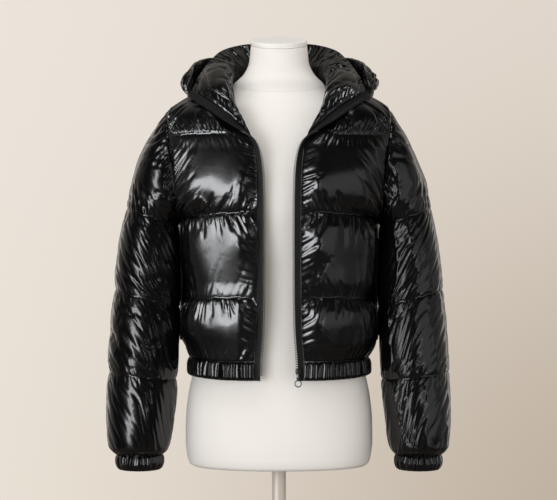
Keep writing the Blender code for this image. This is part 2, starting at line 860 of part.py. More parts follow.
# Pocket welts
def on_panel(word, level, share):
    """A point on a front's seam surface, with its normal and the padding's height there."""
    base, normal, height = fronts[word]
    rows = levels(0, 4)
    at_row = np.interp(level, rows, range(len(rows)))
    at_column = share * (FRONT_COLUMNS - 1)
    r, c = int(at_row), int(at_column)
    u, v = at_row - r, at_column - c
    point, lean, lift = (
        grid[r, c] * (1 - u) * (1 - v) + grid[r + 1, c] * u * (1 - v)
        + grid[r, c + 1] * (1 - u) * v + grid[r + 1, c + 1] * u * v
        for grid in (base, normal, height[..., None])
    )
    return point, unit(lean), lift[0]


def welt_grid(word, out):
    """The welt's points, raised this far off the padding."""
    grid = []
    for level in WELT_LEVELS:
        across = [on_panel(word, level, share) for share in WELT_SHARES]
        grid.append([
            point + normal * (max(height, WELT_LEAST) + out) for point, normal, height in across
        ])
    return np.array(grid)


for word in ("right", "left"):
    outer = welt_grid(word, WELT_LIFT + WELT_THICK)
    add_wall(f"{word}_pocket_welt", outer, welt_grid(word, WELT_LIFT), NYLON)


# Zip slider and its end stop, in front of the left tape's foot
tape_y = tape_front[:5, :, 1].min() - GAP
slider_x = tape_front[3, -1, 0] + SLIDER_ASIDE
slider_y = tape_y - SLIDER[1] / 2
slider = cube("zip_slider", (slider_x, slider_y, SLIDER_Z), SLIDER)
round_edges(slider, 0.0006)
finish(slider, GUNMETAL)
stop = cube("zip_stop", (slider_x + STOP_ASIDE, tape_y - STOP[1] / 2, STOP_Z), STOP)
round_edges(stop, 0.0004)
finish(stop, GUNMETAL)

# The pull hangs from the slider's face, free to swing about its top edge.
hinge = (slider_x, slider_y - SLIDER[1] / 2 - HINGE_OUT, HINGE_Z)
tab = cube("pull_tab_shape", (0, 0, -TAB_DROP), TAB)
tab.location = hinge
tab.display_type = "WIRE"
tab.hide_render = True
move_to(CUTTERS, tab)
bpy.ops.mesh.primitive_torus_add(
    major_radius=RING_RADIUS, minor_radius=RING_THICK, major_segments=20, minor_segments=6,
    location=(0, 0, -RING_DROP), rotation=(math.pi / 2, 0, 0),
)
ring = bpy.context.object
bpy.ops.object.transform_apply(location=True, rotation=True, scale=True)
ring.name = ring.data.name = "zip_pull"
ring.location = hinge
join = ring.modifiers.new("tab", "BOOLEAN")
join.operation = "UNION"
join.solver = "EXACT"
join.object = tab
finish(ring, RING_METAL)


# Dress form and stand
def torso_mesh():
    """Rings from the hips' flat underside to the flat, tilted top of the neck."""
    turns = 2 * math.pi * np.arange(TORSO_SIDES) / TORSO_SIDES
    rings = []
    for z, half_width, front, back in TORSO:
        lean = ramp((z - TILT_START) / (TORSO[-1][0] - TILT_START)) * math.tan(NECK_TILT)
        square = 1.0 if z > HIP_TOP else HIP_SQUARE
        c = np.copysign(np.abs(np.cos(turns)) ** square, np.cos(turns))
        s = np.copysign(np.abs(np.sin(turns)) ** square, np.sin(turns))
        y = np.where(s > 0, back, front) * s
        rings.append(np.stack([half_width * c, y, z + y * lean], axis=1) / 1000)
    points = np.concatenate(rings)
    faces = []
    for r in range(len(TORSO) - 1):
        for i in range(TORSO_SIDES):
            a, b = r * TORSO_SIDES + i, r * TORSO_SIDES + (i + 1) % TORSO_SIDES
            faces.append((a, b, b + TORSO_SIDES, a + TORSO_SIDES))
    faces.append(tuple(range(TORSO_SIDES))[::-1])
    faces.append(tuple(range(len(points) - TORSO_SIDES, len(points))))
    return points, faces


add_mesh("form_torso", *torso_mesh(), FORM_WHITE)
cap_middle = CAP_CENTRE_Z + CAP_HEIGHT / 2
cap = add_cylinder(
    "form_neck_cap", (0, 0, cap_middle), NECK_RADIUS + CAP_LEDGE, CAP_HEIGHT, 0.0012,
    FORM_WHITE, TORSO_SIDES,
)
cap.rotation_euler.x = NECK_TILT
pole_length = TORSO_BOTTOM - BASE_THICK - 2 * GAP
pole_middle = BASE_THICK + GAP + pole_length / 2
add_cylinder("form_pole", (0, 0, pole_middle), POLE_RADIUS, pole_length, 0, STAND_GREY, 32)
add_cylinder("form_base", (0, 0, BASE_THICK / 2), BASE_RADIUS, BASE_THICK, 0.003, STAND_GREY, 48)
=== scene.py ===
"""The looks of a cropped, hooded puffer jacket, worn open on a limbless dress form.

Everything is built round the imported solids, in metres, with +Z up and the open front
facing -Y. Right and left are the wearer's, so the right half is at -X.
"""

import math

import bmesh
import bpy
import numpy as np
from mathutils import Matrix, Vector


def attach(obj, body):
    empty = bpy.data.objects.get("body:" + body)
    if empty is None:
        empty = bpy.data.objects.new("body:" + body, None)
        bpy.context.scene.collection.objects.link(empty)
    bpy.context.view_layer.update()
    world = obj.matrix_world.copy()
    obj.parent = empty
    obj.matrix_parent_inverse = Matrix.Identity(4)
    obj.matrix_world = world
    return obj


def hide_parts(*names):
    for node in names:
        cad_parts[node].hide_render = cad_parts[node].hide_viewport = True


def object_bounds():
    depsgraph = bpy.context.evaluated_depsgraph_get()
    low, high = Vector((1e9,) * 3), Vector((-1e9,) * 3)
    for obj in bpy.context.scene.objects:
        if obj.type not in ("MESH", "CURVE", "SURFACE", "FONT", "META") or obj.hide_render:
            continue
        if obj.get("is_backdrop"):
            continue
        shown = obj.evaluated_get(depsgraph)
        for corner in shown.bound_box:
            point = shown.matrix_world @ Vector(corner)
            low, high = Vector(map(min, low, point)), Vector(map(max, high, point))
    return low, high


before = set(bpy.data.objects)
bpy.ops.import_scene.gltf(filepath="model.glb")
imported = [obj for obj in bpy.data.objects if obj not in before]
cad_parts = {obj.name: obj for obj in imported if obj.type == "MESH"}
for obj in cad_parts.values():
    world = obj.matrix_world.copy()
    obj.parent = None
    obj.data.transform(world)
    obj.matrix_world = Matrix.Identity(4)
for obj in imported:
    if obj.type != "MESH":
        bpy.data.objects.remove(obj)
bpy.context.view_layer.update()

# The studio. A warm paper backdrop, with painted light and shade in its colour: lighter on the
# viewer's left and towards the top, darker low on the right. The main soft boxes stand on the
# left and dim cards on the other side. The camera stands level, three metres in front of the
# jacket, as the photograph's does.
scene = bpy.context.scene
scene.view_settings.view_transform = "Standard"
scene.view_settings.look = "None"
IMAGE_WIDTH, PIXEL = 557, 0.00172       # in pixels, and metres at the jacket for a pixel
CAMERA_AWAY, CAMERA_HEIGHT = 3.0, 1.17

lens = bpy.data.cameras.new("camera")
lens.sensor_width = 36
lens.lens = lens.sensor_width * CAMERA_AWAY / (IMAGE_WIDTH * PIXEL)
lens.shift_x = -0.5 / IMAGE_WIDTH
lens.clip_start = 0.05
camera = bpy.data.objects.new("camera", lens)
camera.location = (0, -CAMERA_AWAY, CAMERA_HEIGHT)
camera.rotation_euler = (math.pi / 2, 0, 0)
scene.collection.objects.link(camera)
scene.camera = camera


def linear(*rgb):
    """A colour measured on a screen, as the shaders take it."""
    return tuple(
        c / 255 / 12.92 if c <= 10 else ((c / 255 + 0.055) / 1.055) ** 2.4 for c in rgb
    )


def add(tree, kind, **values):
    """A shader node, with the given attributes and inputs set."""
    node = tree.nodes.new(kind)
    for name, value in values.items():
        if hasattr(node, name):
            setattr(node, name, value)
        else:
            node.inputs[name.replace("_", " ")].default_value = value
    return node


def wire(tree, *links):
    """Links in a shader tree, each as a node and its output, then a node and its input."""
    for source, output, target, socket in links:
        tree.links.new(source.outputs[output], target.inputs[socket])


backdrop = bpy.data.worlds.new("backdrop")
backdrop.use_nodes = True
tree = backdrop.node_tree
tree.nodes.clear()
way = add(tree, "ShaderNodeTexCoord")
parts = add(tree, "ShaderNodeSeparateXYZ")
smooth = {"interpolation_type": "SMOOTHSTEP"}
# The paper, which only the camera sees, has painted light in its colour: lighter on the viewer's
# left and at the top, painted shade low on the right.
across = add(tree, "ShaderNodeMapRange", From_Min=-0.20, From_Max=0.20, **smooth)
upward = add(tree, "ShaderNodeMapRange", From_Min=-0.16, From_Max=0.16, **smooth)
low = add(tree, "ShaderNodeMix", data_type="RGBA")
low.inputs["A"].default_value = (*linear(234, 225, 214), 1)
low.inputs["B"].default_value = (*linear(190, 176, 160), 1)
high = add(tree, "ShaderNodeMix", data_type="RGBA")
high.inputs["A"].default_value = (*linear(235, 228, 219), 1)
high.inputs["B"].default_value = (*linear(224, 214, 203), 1)
paper = add(tree, "ShaderNodeMix", data_type="RGBA")
wire(
    tree, (way, "Generated", parts, 0), (parts, "X", across, "Value"), (parts, "Z", upward, "Value"),
    (across, 0, low, "Factor"), (across, 0, high, "Factor"), (upward, 0, paper, "Factor"),
    (low, "Result", paper, "A"), (high, "Result", paper, "B"),
)
# The jacket's gloss mirrors the paper behind it and, in front, a dim room. The matt form is
# lit evenly from all round.
behind = add(
    tree, "ShaderNodeMapRange", From_Min=-0.15, From_Max=0.45, To_Min=0.02, To_Max=0.42, **smooth
)
seen = add(tree, "ShaderNodeLightPath")
evenly_lit = add(tree, "ShaderNodeMix", data_type="FLOAT")
evenly_lit.inputs[3].default_value = 0.70
shown = add(tree, "ShaderNodeBackground", Strength=1.0)
lit = add(tree, "ShaderNodeBackground", Color=(*linear(232, 224, 214), 1))
which = add(tree, "ShaderNodeMixShader")
out = add(tree, "ShaderNodeOutputWorld")
wire(
    tree, (parts, "Y", behind, "Value"), (seen, "Is Diffuse Ray", evenly_lit, 0),
    (behind, 0, evenly_lit, 2), (evenly_lit, 0, lit, "Strength"), (paper, "Result", shown, "Color"),
    (seen, "Is Camera Ray", which, 0), (lit, 0, which, 1), (shown, 0, which, 2),
    (which, 0, out, "Surface"),
)
scene.world = backdrop

COOL, WARM, WHITE = (0.96, 0.98, 1.0), (1.0, 0.97, 0.93), (1.0, 1.0, 1.0)
SOFT_BOXES = (
    # name, place, aim, width and height (m), watts, colour, surfaces that it lights
    ("key_box", (-1.68, -2.10, 1.25), (0, 0, 1.15), 2.1, 1.1, 88, COOL, "gloss"),
    ("side_box", (-2.40, -1.10, 1.25), (0, 0, 1.15), 0.6, 1.0, 19, COOL, "gloss"),
    ("key_glow", (-1.80, -2.15, 1.30), (0, 0, 1.15), 2.2, 2.0, 9, COOL, "gloss"),
    ("right_sleeve_box", (-1.55, -2.2, 1.2), (0, 0, 1.1), 0.7, 2.2, 46, COOL, "gloss"),
    ("left_sleeve_box", (-1.55, -2.2, 1.2), (0, 0, 1.1), 0.7, 2.2, 22, COOL, "gloss"),
    ("right_card", (2.0, -2.2, 1.2), (0, 0, 1.15), 2.4, 2.2, 12, COOL, "gloss"),
    ("right_wing", (3.0, -0.45, 1.2), (0, 0, 1.15), 2.2, 2.2, 3.5, COOL, "gloss"),
    ("lobe_box", (2.1, -0.5, 2.75), (0.1, 0, 1.45), 0.45, 0.4, 9, COOL, "gloss"),
    ("right_strip", (0.95, -2.2, 1.05), (0.2, 0, 1.05), 0.07, 1.1, 2.2, COOL, "gloss"),
    ("rim_left", (-1.3, 1.5, 1.4), (0, 0, 1.15), 0.6, 1.6, 2.5, WARM, "all"),
    ("rim_right", (1.5, 1.3, 1.4), (0, 0, 1.15), 0.6, 1.6, 2.5, WARM, "all"),
    ("top_box", (0, -0.9, 3.0), (0, 0, 1.2), 0.8, 0.35, 5.5, COOL, "gloss"),
    ("form_key", (-1.3, -2.6, 0.8), (0, 0, 1.0), 1.5, 1.5, 38, WHITE, "matt"),
    ("form_fill", (2.0, -1.6, 1.0), (0, 0, 1.0), 1.5, 1.5, 9, WARM, "matt"),
    ("form_top", (-0.3, -0.6, 3.1), (0, 0, 1.5), 1.2, 1.2, 12, WHITE, "matt"),
)
for name, at, aim, width, height, watts, colour, surfaces in SOFT_BOXES:
    light = bpy.data.lights.new(name, "AREA")
    light.shape = "RECTANGLE"
    light.size, light.size_y = width, height
    light.energy = watts
    light.color = colour
    box = bpy.data.objects.new(name, light)
    box.location = at
    x, y, z = np.array(at) - np.array(aim)
    box.rotation_euler = (math.atan2(math.hypot(x, y), z), 0, math.atan2(x, -y))
    box.visible_diffuse = surfaces != "gloss"
    box.visible_glossy = surfaces != "matt"
    scene.collection.objects.link(box)


def light_reach(box_name, piece, state):
    """Keeps a box off a piece ("EXCLUDE"), or limits it to such pieces ("INCLUDE")."""
    linking = bpy.data.objects[box_name].light_linking
    if linking.receiver_collection is None:
        linking.receiver_collection = bpy.data.collections.new(f"reached_by_{box_name}")
    linking.receiver_collection.objects.link(piece)
    linking.receiver_collection.collection_objects[-1].light_linking.link_state = state


def lit_apart(piece, own_box, also_flagged=()):
    """Black flags keep the fronts' boxes off a piece, which has a box of its own."""
    for name in ("key_box", "key_glow", "side_box", *also_flagged):
        light_reach(name, piece, "EXCLUDE")
    light_reach(own_box, piece, "INCLUDE")


bpy.ops.mesh.primitive_circle_add(vertices=96, radius=2.1, fill_type="NGON")
floor = bpy.context.object
floor.name = "studio_floor"
floor.location.z = -0.0005
paint = bpy.data.materials.new("floor_paper")
paint.use_nodes = True
shader = paint.node_tree.nodes["Principled BSDF"]
shader.inputs["Base Color"].default_value = (*linear(96, 90, 84), 1)
shader.inputs["Roughness"].default_value = 0.9
floor.data.materials.append(paint)
floor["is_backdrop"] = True

# The dress form and its stand: a torso of moulded foam under smooth white cotton, with a
# flat painted cap on its neck, on a satin steel pole screwed to a heavy round base. The
# parts are turned or lofted, and the torso is pushed down on the pole.
TORSO = (
    # z, half_width, front, back (mm)
    (801.5, 148, 100, 100),
    (806, 154, 105, 105),
    (820, 158, 108, 108),
    (845, 160.5, 109, 110),
    (880, 160, 108, 110),
    (920, 156, 105, 106),
    (960, 148, 101, 99),
    (1010, 137, 99, 94),
    (1060, 127, 98, 90),
    (1120, 125, 100, 90),
    (1180, 131, 108, 94),
    (1240, 139, 116, 98),
    (1290, 146, 112, 98),
    (1335, 152, 101, 94),
    (1370, 154, 88, 86),
    (1395, 147, 78, 74),
    (1413, 133, 70, 62),
    (1428, 107, 56, 53),
    (1442, 87, 51, 50),
    (1456, 76.5, 53, 50),
    (1473, 60, 50, 50),
    (1492, 51.5, 49, 49),
    (1522, 48.3, 48.3, 48.3),
)
TORSO_LOW, HIPS_ROUNDED, NECK_ROOT, TORSO_TOP = 801.5, 822, 1456, 1522
HIPS_SQUARED, SQUARED_UP_TO = 880, 930
NECK_TILT = math.radians(14.3)
NECK_RADIUS, CAP_LOW, CAP_HIGH, CAP_EDGE = 0.0483, 1.5225, 1.5310, 0.0013
NECK_SEAM_HEIGHT, NECK_SEAM_RISE = 1.4585, 0.40
POLE_LOW, POLE_HIGH, POLE_RADIUS, POLE_EDGE = 0.0123, 0.8012, 0.012, 0.0006
BASE_THICK, BASE_RADIUS, BASE_EDGE = 0.012, 0.170, 0.003


def read_rows(table, places):
    """The table's other columns at these places, on smooth curves that stay between its rows."""
    rows = np.array(table, float)
    x, y = rows[:, 0], rows[:, 1:]
    places = np.clip(np.asarray(places, float), x[0], x[-1])
    i = np.clip(np.searchsorted(x, places, side="right") - 1, 0, len(x) - 2)
    slope = np.diff(y, axis=0) / np.diff(x)[:, None]
    product = slope[:-1] * slope[1:]
    tangent = np.zeros_like(y)
    np.divide(2 * product, slope[:-1] + slope[1:], out=tangent[1:-1], where=product > 0)
    tangent[0], tangent[-1] = slope[0], slope[-1]
    step = (x[i + 1] - x[i])[..., None]
    t = ((places - x[i]) / (x[i + 1] - x[i]))[..., None]
    return (
        (1 + 2 * t) * (1 - t) ** 2 * y[i]
        + t * (1 - t) ** 2 * step * tangent[i]
        + t * t * (3 - 2 * t) * y[i + 1]
        - t * t * (1 - t) * step * tangent[i + 1]
    )


def ramp(value):
    """A smooth step from 0 to 1."""
    value = np.clip(value, 0, 1)
    return value * value * (3 - 2 * value)


def squared(wave, power):
    """A sine or cosine drawn out towards a square one."""
    return np.copysign(np.abs(wave) ** power, wave)


def add_piece(name, points, faces, material, sharp=()):
    """A smooth-shaded mesh; "sharp" lists the runs of points along its hard edges."""
    mesh = bpy.data.meshes.new(name)
    mesh.from_pydata(np.asarray(points, float).tolist(), [], faces)
    mesh.polygons.foreach_set("use_smooth", np.ones(len(faces), bool))
    mesh.update()
    if sharp:
        run_of = np.zeros(len(points), int)
        for number, run in enumerate(sharp, 1):
            run_of[list(run)] = number
        ends = np.empty(2 * len(mesh.edges), np.int32)
        mesh.edges.foreach_get("vertices", ends)
        runs = run_of[ends.reshape(-1, 2)]
        hard = mesh.attributes.new("sharp_edge", "BOOLEAN", "EDGE")
        hard.data.foreach_set("value", (runs[:, 0] > 0) & (runs[:, 0] == runs[:, 1]))
    obj = bpy.data.objects.new(name, mesh)
    scene.collection.objects.link(obj)
    mesh.materials.append(material)
    return obj


def ring_faces(rings, sides):
    """Four-sided faces between rings of points."""
    faces = []
    for r in range(rings - 1):
        for i in range(sides):
            a, b = r * sides + i, r * sides + (i + 1) % sides
            faces.append((a, b, b + sides, a + sides))
    return faces


def turned(name, profile, material, sides=96, tilt=0.0):
    """A solid turned about the vertical through its profile of (radius, height) rows."""
    turns = 2 * math.pi * np.arange(sides) / sides
    rings = [
        np.stack([r * np.cos(turns), r * np.sin(turns), np.full(sides, z)], axis=1)
        for r, z in profile
    ]
    points = np.concatenate(rings)
    faces = ring_faces(len(profile), sides)
    faces.append(tuple(range(sides))[::-1])
    faces.append(tuple(range(len(points) - sides, len(points))))
    if tilt:
        middle = np.array((0, 0, points[:, 2].mean()))
        c, s = math.cos(tilt), math.sin(tilt)
        points = (points - middle) @ np.array(((1, 0, 0), (0, c, s), (0, -s, c))) + middle
    ends = [range(sides), range(len(points) - sides, len(points))]
    return add_piece(name, points, faces, material, ends)


def rounded(low, high, radius, edge, steps=5):
    """The profile of a disc or rod with rounded ends."""
    turns = np.linspace(0, math.pi / 2, steps)
    foot = [(radius - edge + edge * math.sin(t), low + edge - edge * math.cos(t)) for t in turns]
    head = [(radius - edge + edge * math.cos(t), high - edge + edge * math.sin(t)) for t in turns]
    return foot + head


def fasten(piece, node, body="jacket_and_form", stands_for_it=True):
    """Hides the imported solid that a piece stands for, if it does, and hangs the piece on its body.
    """
    if stands_for_it:
        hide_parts(node)
    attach(piece, body)


def new_material(name):
    """A material, its node tree and its shader."""
    made = bpy.data.materials.new(name)
    made.use_nodes = True
    return made, made.node_tree, made.node_tree.nodes["Principled BSDF"]


def new_group(name, inputs, outputs):
    """A shader node group with these named sockets, its input node and its output node."""
    group = bpy.data.node_groups.new(name, "ShaderNodeTree")
    for label, kind, value in inputs:
        socket = group.interface.new_socket(label, in_out="INPUT", socket_type=kind)
        socket.default_value = value
    for label, kind in outputs:
        group.interface.new_socket(label, in_out="OUTPUT", socket_type=kind)
    return group, group.nodes.new("NodeGroupInput"), group.nodes.new("NodeGroupOutput")


def place_group(tree, group, **values):
    """A group placed in a material, with its own values."""
    node = tree.nodes.new("ShaderNodeGroup")
    node.node_tree = group
    for name, value in values.items():
        node.inputs[name.replace("_", " ")].default_value = value
    return node


FLOAT, COLOUR = "NodeSocketFloat", "NodeSocketColor"

# Woven threads, as a height: two sets of fine ridges that cross, a little uneven.
weave, given, made = new_group(
    "woven_threads",
    [("Threads per metre", FLOAT, 2500.0), ("Unevenness", FLOAT, 0.3)],
    [("Height", FLOAT)],
)
where = add(weave, "ShaderNodeTexCoord")
ridges = []
for direction in ("X", "Z"):
    wave = add(weave, "ShaderNodeTexWave", bands_direction=direction, Detail=1.0)
    scale = add(weave, "ShaderNodeMath", operation="MULTIPLY")
    scale.inputs[1].default_value = 0.314
    wire(
        weave, (given, "Threads per metre", scale, 0), (scale, 0, wave, "Scale"),
        (given, "Unevenness", wave, "Distortion"), (where, "Object", wave, "Vector"),
    )
    ridges.append(wave)
crossed = add(weave, "ShaderNodeMath", operation="MULTIPLY")
wire(
    weave, (ridges[0], "Fac", crossed, 0), (ridges[1], "Fac", crossed, 1),
    (crossed, 0, made, "Height"),
)

# Handling marks: a soft mottle of two colours, and the same mask on its own.
mottle, given, made = new_group(
    "handling_marks",
    [("Clean", COLOUR, (1, 1, 1, 1)), ("Marked", COLOUR, (0, 0, 0, 1)),
     ("Size", FLOAT, 8.0), ("Amount", FLOAT, 0.3)],
    [("Color", COLOUR), ("Mask", FLOAT)],
)
where = add(mottle, "ShaderNodeTexCoord")
cloud = add(mottle, "ShaderNodeTexNoise", Detail=4.0, Roughness=0.6)
spread = add(mottle, "ShaderNodeMapRange", From_Min=0.35, From_Max=0.75)
share = add(mottle, "ShaderNodeMath", operation="MULTIPLY")
mixed = add(mottle, "ShaderNodeMix", data_type="RGBA")
wire(
    mottle, (where, "Object", cloud, "Vector"), (given, "Size", cloud, "Scale"),
    (cloud, "Fac", spread, "Value"), (spread, 0, share, 0), (given, "Amount", share, 1),
    (share, 0, mixed, "Factor"), (given, "Clean", mixed, "A"), (given, "Marked", mixed, "B"),
    (mixed, "Result", made, "Color"), (share, 0, made, "Mask"),
)


def form_material(name, clean, marked, roughness, threads, depth):
    """Matt white cotton, or smooth paint where it has no threads."""
    made, tree, shader = new_material(name)
    colour = place_group(tree, mottle, Clean=(*clean, 1), Marked=(*marked, 1), Size=5.0, Amount=0.25)
    shader.inputs["Roughness"].default_value = roughness
    shader.inputs["Specular IOR Level"].default_value = 0.35
    bump = add(tree, "ShaderNodeBump", Strength=0.35, Distance=depth)
    if threads:
        cloth = place_group(tree, weave, Threads_per_metre=threads, Unevenness=0.6)
        wire(tree, (cloth, "Height", bump, "Height"))
    else:
        grain = add(tree, "ShaderNodeTexNoise", Scale=900.0, Detail=2.0)
        where = add(tree, "ShaderNodeTexCoord")
        wire(tree, (where, "Object", grain, "Vector"), (grain, "Fac", bump, "Height"))
    wire(tree, (colour, "Color", shader, "Base Color"), (bump, "Normal", shader, "Normal"))
    return made


cotton = form_material(
    "white_cotton", linear(240, 239, 237), linear(228, 225, 220), roughness=0.72,
    threads=1700.0, depth=0.00012,
)
cap_paint = form_material(
    "cap_paint", linear(240, 240, 238), linear(232, 230, 227), roughness=0.5,
    threads=0, depth=0.00004,
)
stand_paint = form_material(
    "stand_paint", linear(206, 199, 189), linear(190, 182, 171), roughness=0.38,
    threads=0, depth=0.00005,
)

TORSO_SIDES, TORSO_RINGS = 128, 150
turns = 2 * math.pi * np.arange(TORSO_SIDES) / TORSO_SIDES
# More rings where the hips round under.
heights = np.concatenate([
    np.linspace(TORSO_LOW, HIPS_ROUNDED, 14)[:-1],
    np.linspace(HIPS_ROUNDED, TORSO_TOP, TORSO_RINGS - 13),
])
rings = []
for z, (half_width, front, back) in zip(heights, read_rows(TORSO, heights)):
    lean = ramp((z - NECK_ROOT) / (TORSO_TOP - NECK_ROOT)) * math.tan(NECK_TILT)
    square = 0.95 + 0.05 * ramp((z - HIPS_SQUARED) / (SQUARED_UP_TO - HIPS_SQUARED))
    c, s = squared(np.cos(turns), square), squared(np.sin(turns), square)
    y = np.where(s > 0, back, front) * s
    rings.append(np.stack([half_width * c, y, z + y * lean], axis=1) / 1000)
torso_points = np.concatenate(rings)
faces = ring_faces(len(rings), TORSO_SIDES)
faces.append(tuple(range(TORSO_SIDES))[::-1])
faces.append(tuple(range(len(torso_points) - TORSO_SIDES, len(torso_points))))
torso = add_piece(
    "torso_cover", torso_points, faces, cotton,
    [range(len(torso_points) - TORSO_SIDES, len(torso_points))],
)
fasten(torso, "form_torso")

cap_profile = rounded(CAP_LOW, CAP_HIGH, NECK_RADIUS + 0.0003, CAP_EDGE)
fasten(turned("neck_cap", cap_profile, cap_paint, tilt=NECK_TILT), "form_neck_cap")
pole_profile = rounded(POLE_LOW, POLE_HIGH, POLE_RADIUS, POLE_EDGE, 3)
fasten(turned("steel_pole", pole_profile, stand_paint, 48), "form_pole")
base_profile = rounded(0.0, BASE_THICK, BASE_RADIUS, BASE_EDGE)
fasten(turned("round_base", base_profile, stand_paint, 160), "form_base")


def tube(name, path, radius, material, sides=6, closed=False):
    """A round cord along a line of points."""
    path = np.asarray(path, float)
    if closed:
        along = np.roll(path, -1, axis=0) - np.roll(path, 1, axis=0)
    else:
        along = np.gradient(path, axis=0)
    along /= np.linalg.norm(along, axis=1, keepdims=True)
    helper = np.where(np.abs(along[:, 2:3]) < 0.9, (0.0, 0.0, 1.0), (1.0, 0.0, 0.0))
    one = np.cross(along, helper)
    one /= np.linalg.norm(one, axis=1, keepdims=True)
    two = np.cross(along, one)
    turns = 2 * math.pi * np.arange(sides) / sides
    points = (
        path[:, None] + radius * np.cos(turns)[None, :, None] * one[:, None]
        + radius * np.sin(turns)[None, :, None] * two[:, None]
    ).reshape(-1, 3)
    count = len(path)
    faces = ring_faces(count, sides)
    if closed:
        faces += [
            ((count - 1) * sides + i, (count - 1) * sides + (i + 1) % sides, (i + 1) % sides, i)
            for i in range(sides)
        ]
    else:
        faces.append(tuple(range(sides))[::-1])
        faces.append(tuple(range((count - 1) * sides, count * sides)))
    return add_piece(name, points, faces, material)


# The seam of the cotton round the root of the neck, higher at the back.
grid = torso_points.reshape(len(rings), TORSO_SIDES, 3)
above = grid[:, :, 2] - (NECK_SEAM_HEIGHT + NECK_SEAM_RISE * grid[:, :, 1])
seam = []
for i in range(TORSO_SIDES):
    r = int(np.argmax(above[:, i] > 0))
    part = above[r - 1, i] / (above[r - 1, i] - above[r, i])
    seam.append(grid[r - 1, i] * (1 - part) + grid[r, i] * part)
seam_thread = form_material(
    "seam_thread", linear(228, 225, 220), linear(218, 213, 206), roughness=0.8,
    threads=0, depth=0.00002,
)
neck_seam = tube("neck_seam", seam, radius=0.00035, material=seam_thread, closed=True)
fasten(neck_seam, "form_torso", stands_for_it=False)

# The jacket's fronts, back and sleeves. Each is a panel of thin, lacquered black nylon over
# down, stitched across in channels to a plain lining. The thread draws the cloth together,
# so every seam is lined with short pinched folds, and the down swells between them.
WALL = 0.002                    # shell, down and lining pressed together at a seam
GAP = 0.0003                    # between two pieces that are sewn together
CHANNEL_ROWS = 64               # rows of points in one channel
FRONT_COLUMNS = 121
BODY_PUFF, YOKE_PUFF, CAP_PUFF, SLEEVE_PUFF = 0.014, 0.0120, 0.014, 0.0080
PUFF_ROUNDNESS = 0.55
# The back is cut fuller beside its side seams, where the sleeves rest: how much in mm, and the
# levels and shares of it.
BACK_FULLER = 12
BACK_FULLER_AT = ((0.5, 0.6), (1, 1), (1.25, 0.5), (1.5, 0.7), (1.85, 1.2))
# How far each channel's fullest line lies off its middle, from the hem up.
SETTLED = (-0.50, -0.90, 0.95, 0.7, 0.0)
# The padding's least share at a panel's edges, and how far in it is full, as a share.
SIDE_LEAST, SIDE_REACH, ARMHOLE_REACH = 0.6, 0.16, 0.10
ZIP_LEAST, ZIP_REACH, NECK_LEAST, NECK_REACH = 0.35, 0.16, 0.05, 0.45

# Level 0 is the hem seam, 1 and 2 the quilting seams, 3 the yoke seam and 4 the shoulder
# seam. "in" is the zip edge and then the neckline, "out" the side seam and then the armhole.
FRONT = (
    # level, x_in, y_in, z_in, x_out, y_out, z_out (mm), wrap (degrees)
    (0.00, 41.5, -124, 986.0, 153.0, 0, 987.0, 90),
    (0.50, 37.5, -128, 1038, 160.5, 0, 1033, 90),
    (1.00, 36.3, -131, 1092, 163.5, 0, 1083, 89),
    (1.50, 36.0, -134, 1163, 161.5, 0, 1150, 88),
    (2.00, 36.0, -135, 1233, 168.0, 0, 1220, 86),
    (2.15, 36.2, -135, 1253, 169.5, -36, 1230, 76),
    (2.50, 37.2, -133, 1298, 175.0, -67, 1277, 62),
    (2.80, 41.0, -128, 1337, 182.5, -69, 1330, 56),
    (3.00, 47.5, -121, 1362, 187.0, -61, 1363, 52),
    (3.12, 56.0, -109, 1377, 188.3, -56, 1371, 50),
    (3.35, 70.5, -90, 1403, 190.0, -47, 1385, 44),
    (3.65, 79.0, -52, 1429, 190.5, -28, 1401, 36),
    (4.00, 88.5, 3, 1450.5, 187.0, 0, 1412, 25),
)
BACK = (
    # level, y_mid, z_mid, x_out, y_out, z_out (mm), wrap (degrees)
    (0.00, 112, 984.0, 153.0, 0, 987.0, 90),
    (0.50, 113, 1035, 160.5, 0, 1033, 90),
    (1.00, 113, 1089, 163.5, 0, 1083, 89),
    (1.50, 116, 1160, 161.5, 0, 1150, 88),
    (2.00, 119, 1230, 168.0, 0, 1220, 86),
    (2.15, 119, 1251, 169.5, 35, 1230, 76),
    (2.50, 118, 1298, 175.0, 65, 1277, 64),
    (2.80, 114, 1337, 182.5, 67, 1330, 60),
    (3.00, 109, 1362, 187.0, 61, 1363, 56),
)
BACK_TOP_EDGE = (
    # level, x, y, z (mm)
    (3.00, 187.0, 61, 1363),
    (3.35, 190.0, 46, 1385),
    (3.65, 190.5, 27, 1401),
    (4.00, 187.0, 0, 1412),
)
BACK_UPPER = (
    # share of the half width, x, y, z (mm)
    (0.0, 0, 87, 1437),
    (0.1, 22, 84, 1437.5),
    (0.2, 44, 76, 1440),
    (0.3, 64, 60, 1444),
    (0.4, 80, 36, 1449),
    (0.5, 88.5, 3, 1450.5),
    (1.0, 187, 0, 1412),
)
SLEEVE = (
    # level, x_outer, z_outer, x_inner, z_inner, half_depth, y_mid (mm)
    (1.0, 259.5, 1241, 173.0, 1212, 56, 0),
    (1.5, 268.0, 1172, 173.8, 1143, 60, -2),
    (2.0, 279.0, 1103, 171.2, 1073, 58, -4),
    (2.5, 281.5, 1033, 175.0, 1012, 61, -7),
    (3.0, 289.0, 963, 176.5, 950, 60, -10),
    (3.5, 287.0, 893, 187.0, 881, 59, -14),
    (3.88, 287.0, 838, 192.5, 834, 56, -17),
    (4.0, 277.0, 821, 199.0, 821, 42, -18),
)


def unit(vectors):
    """The same ways, each of length 1."""
    return vectors / (np.linalg.norm(vectors, axis=-1, keepdims=True) + 1e-12)


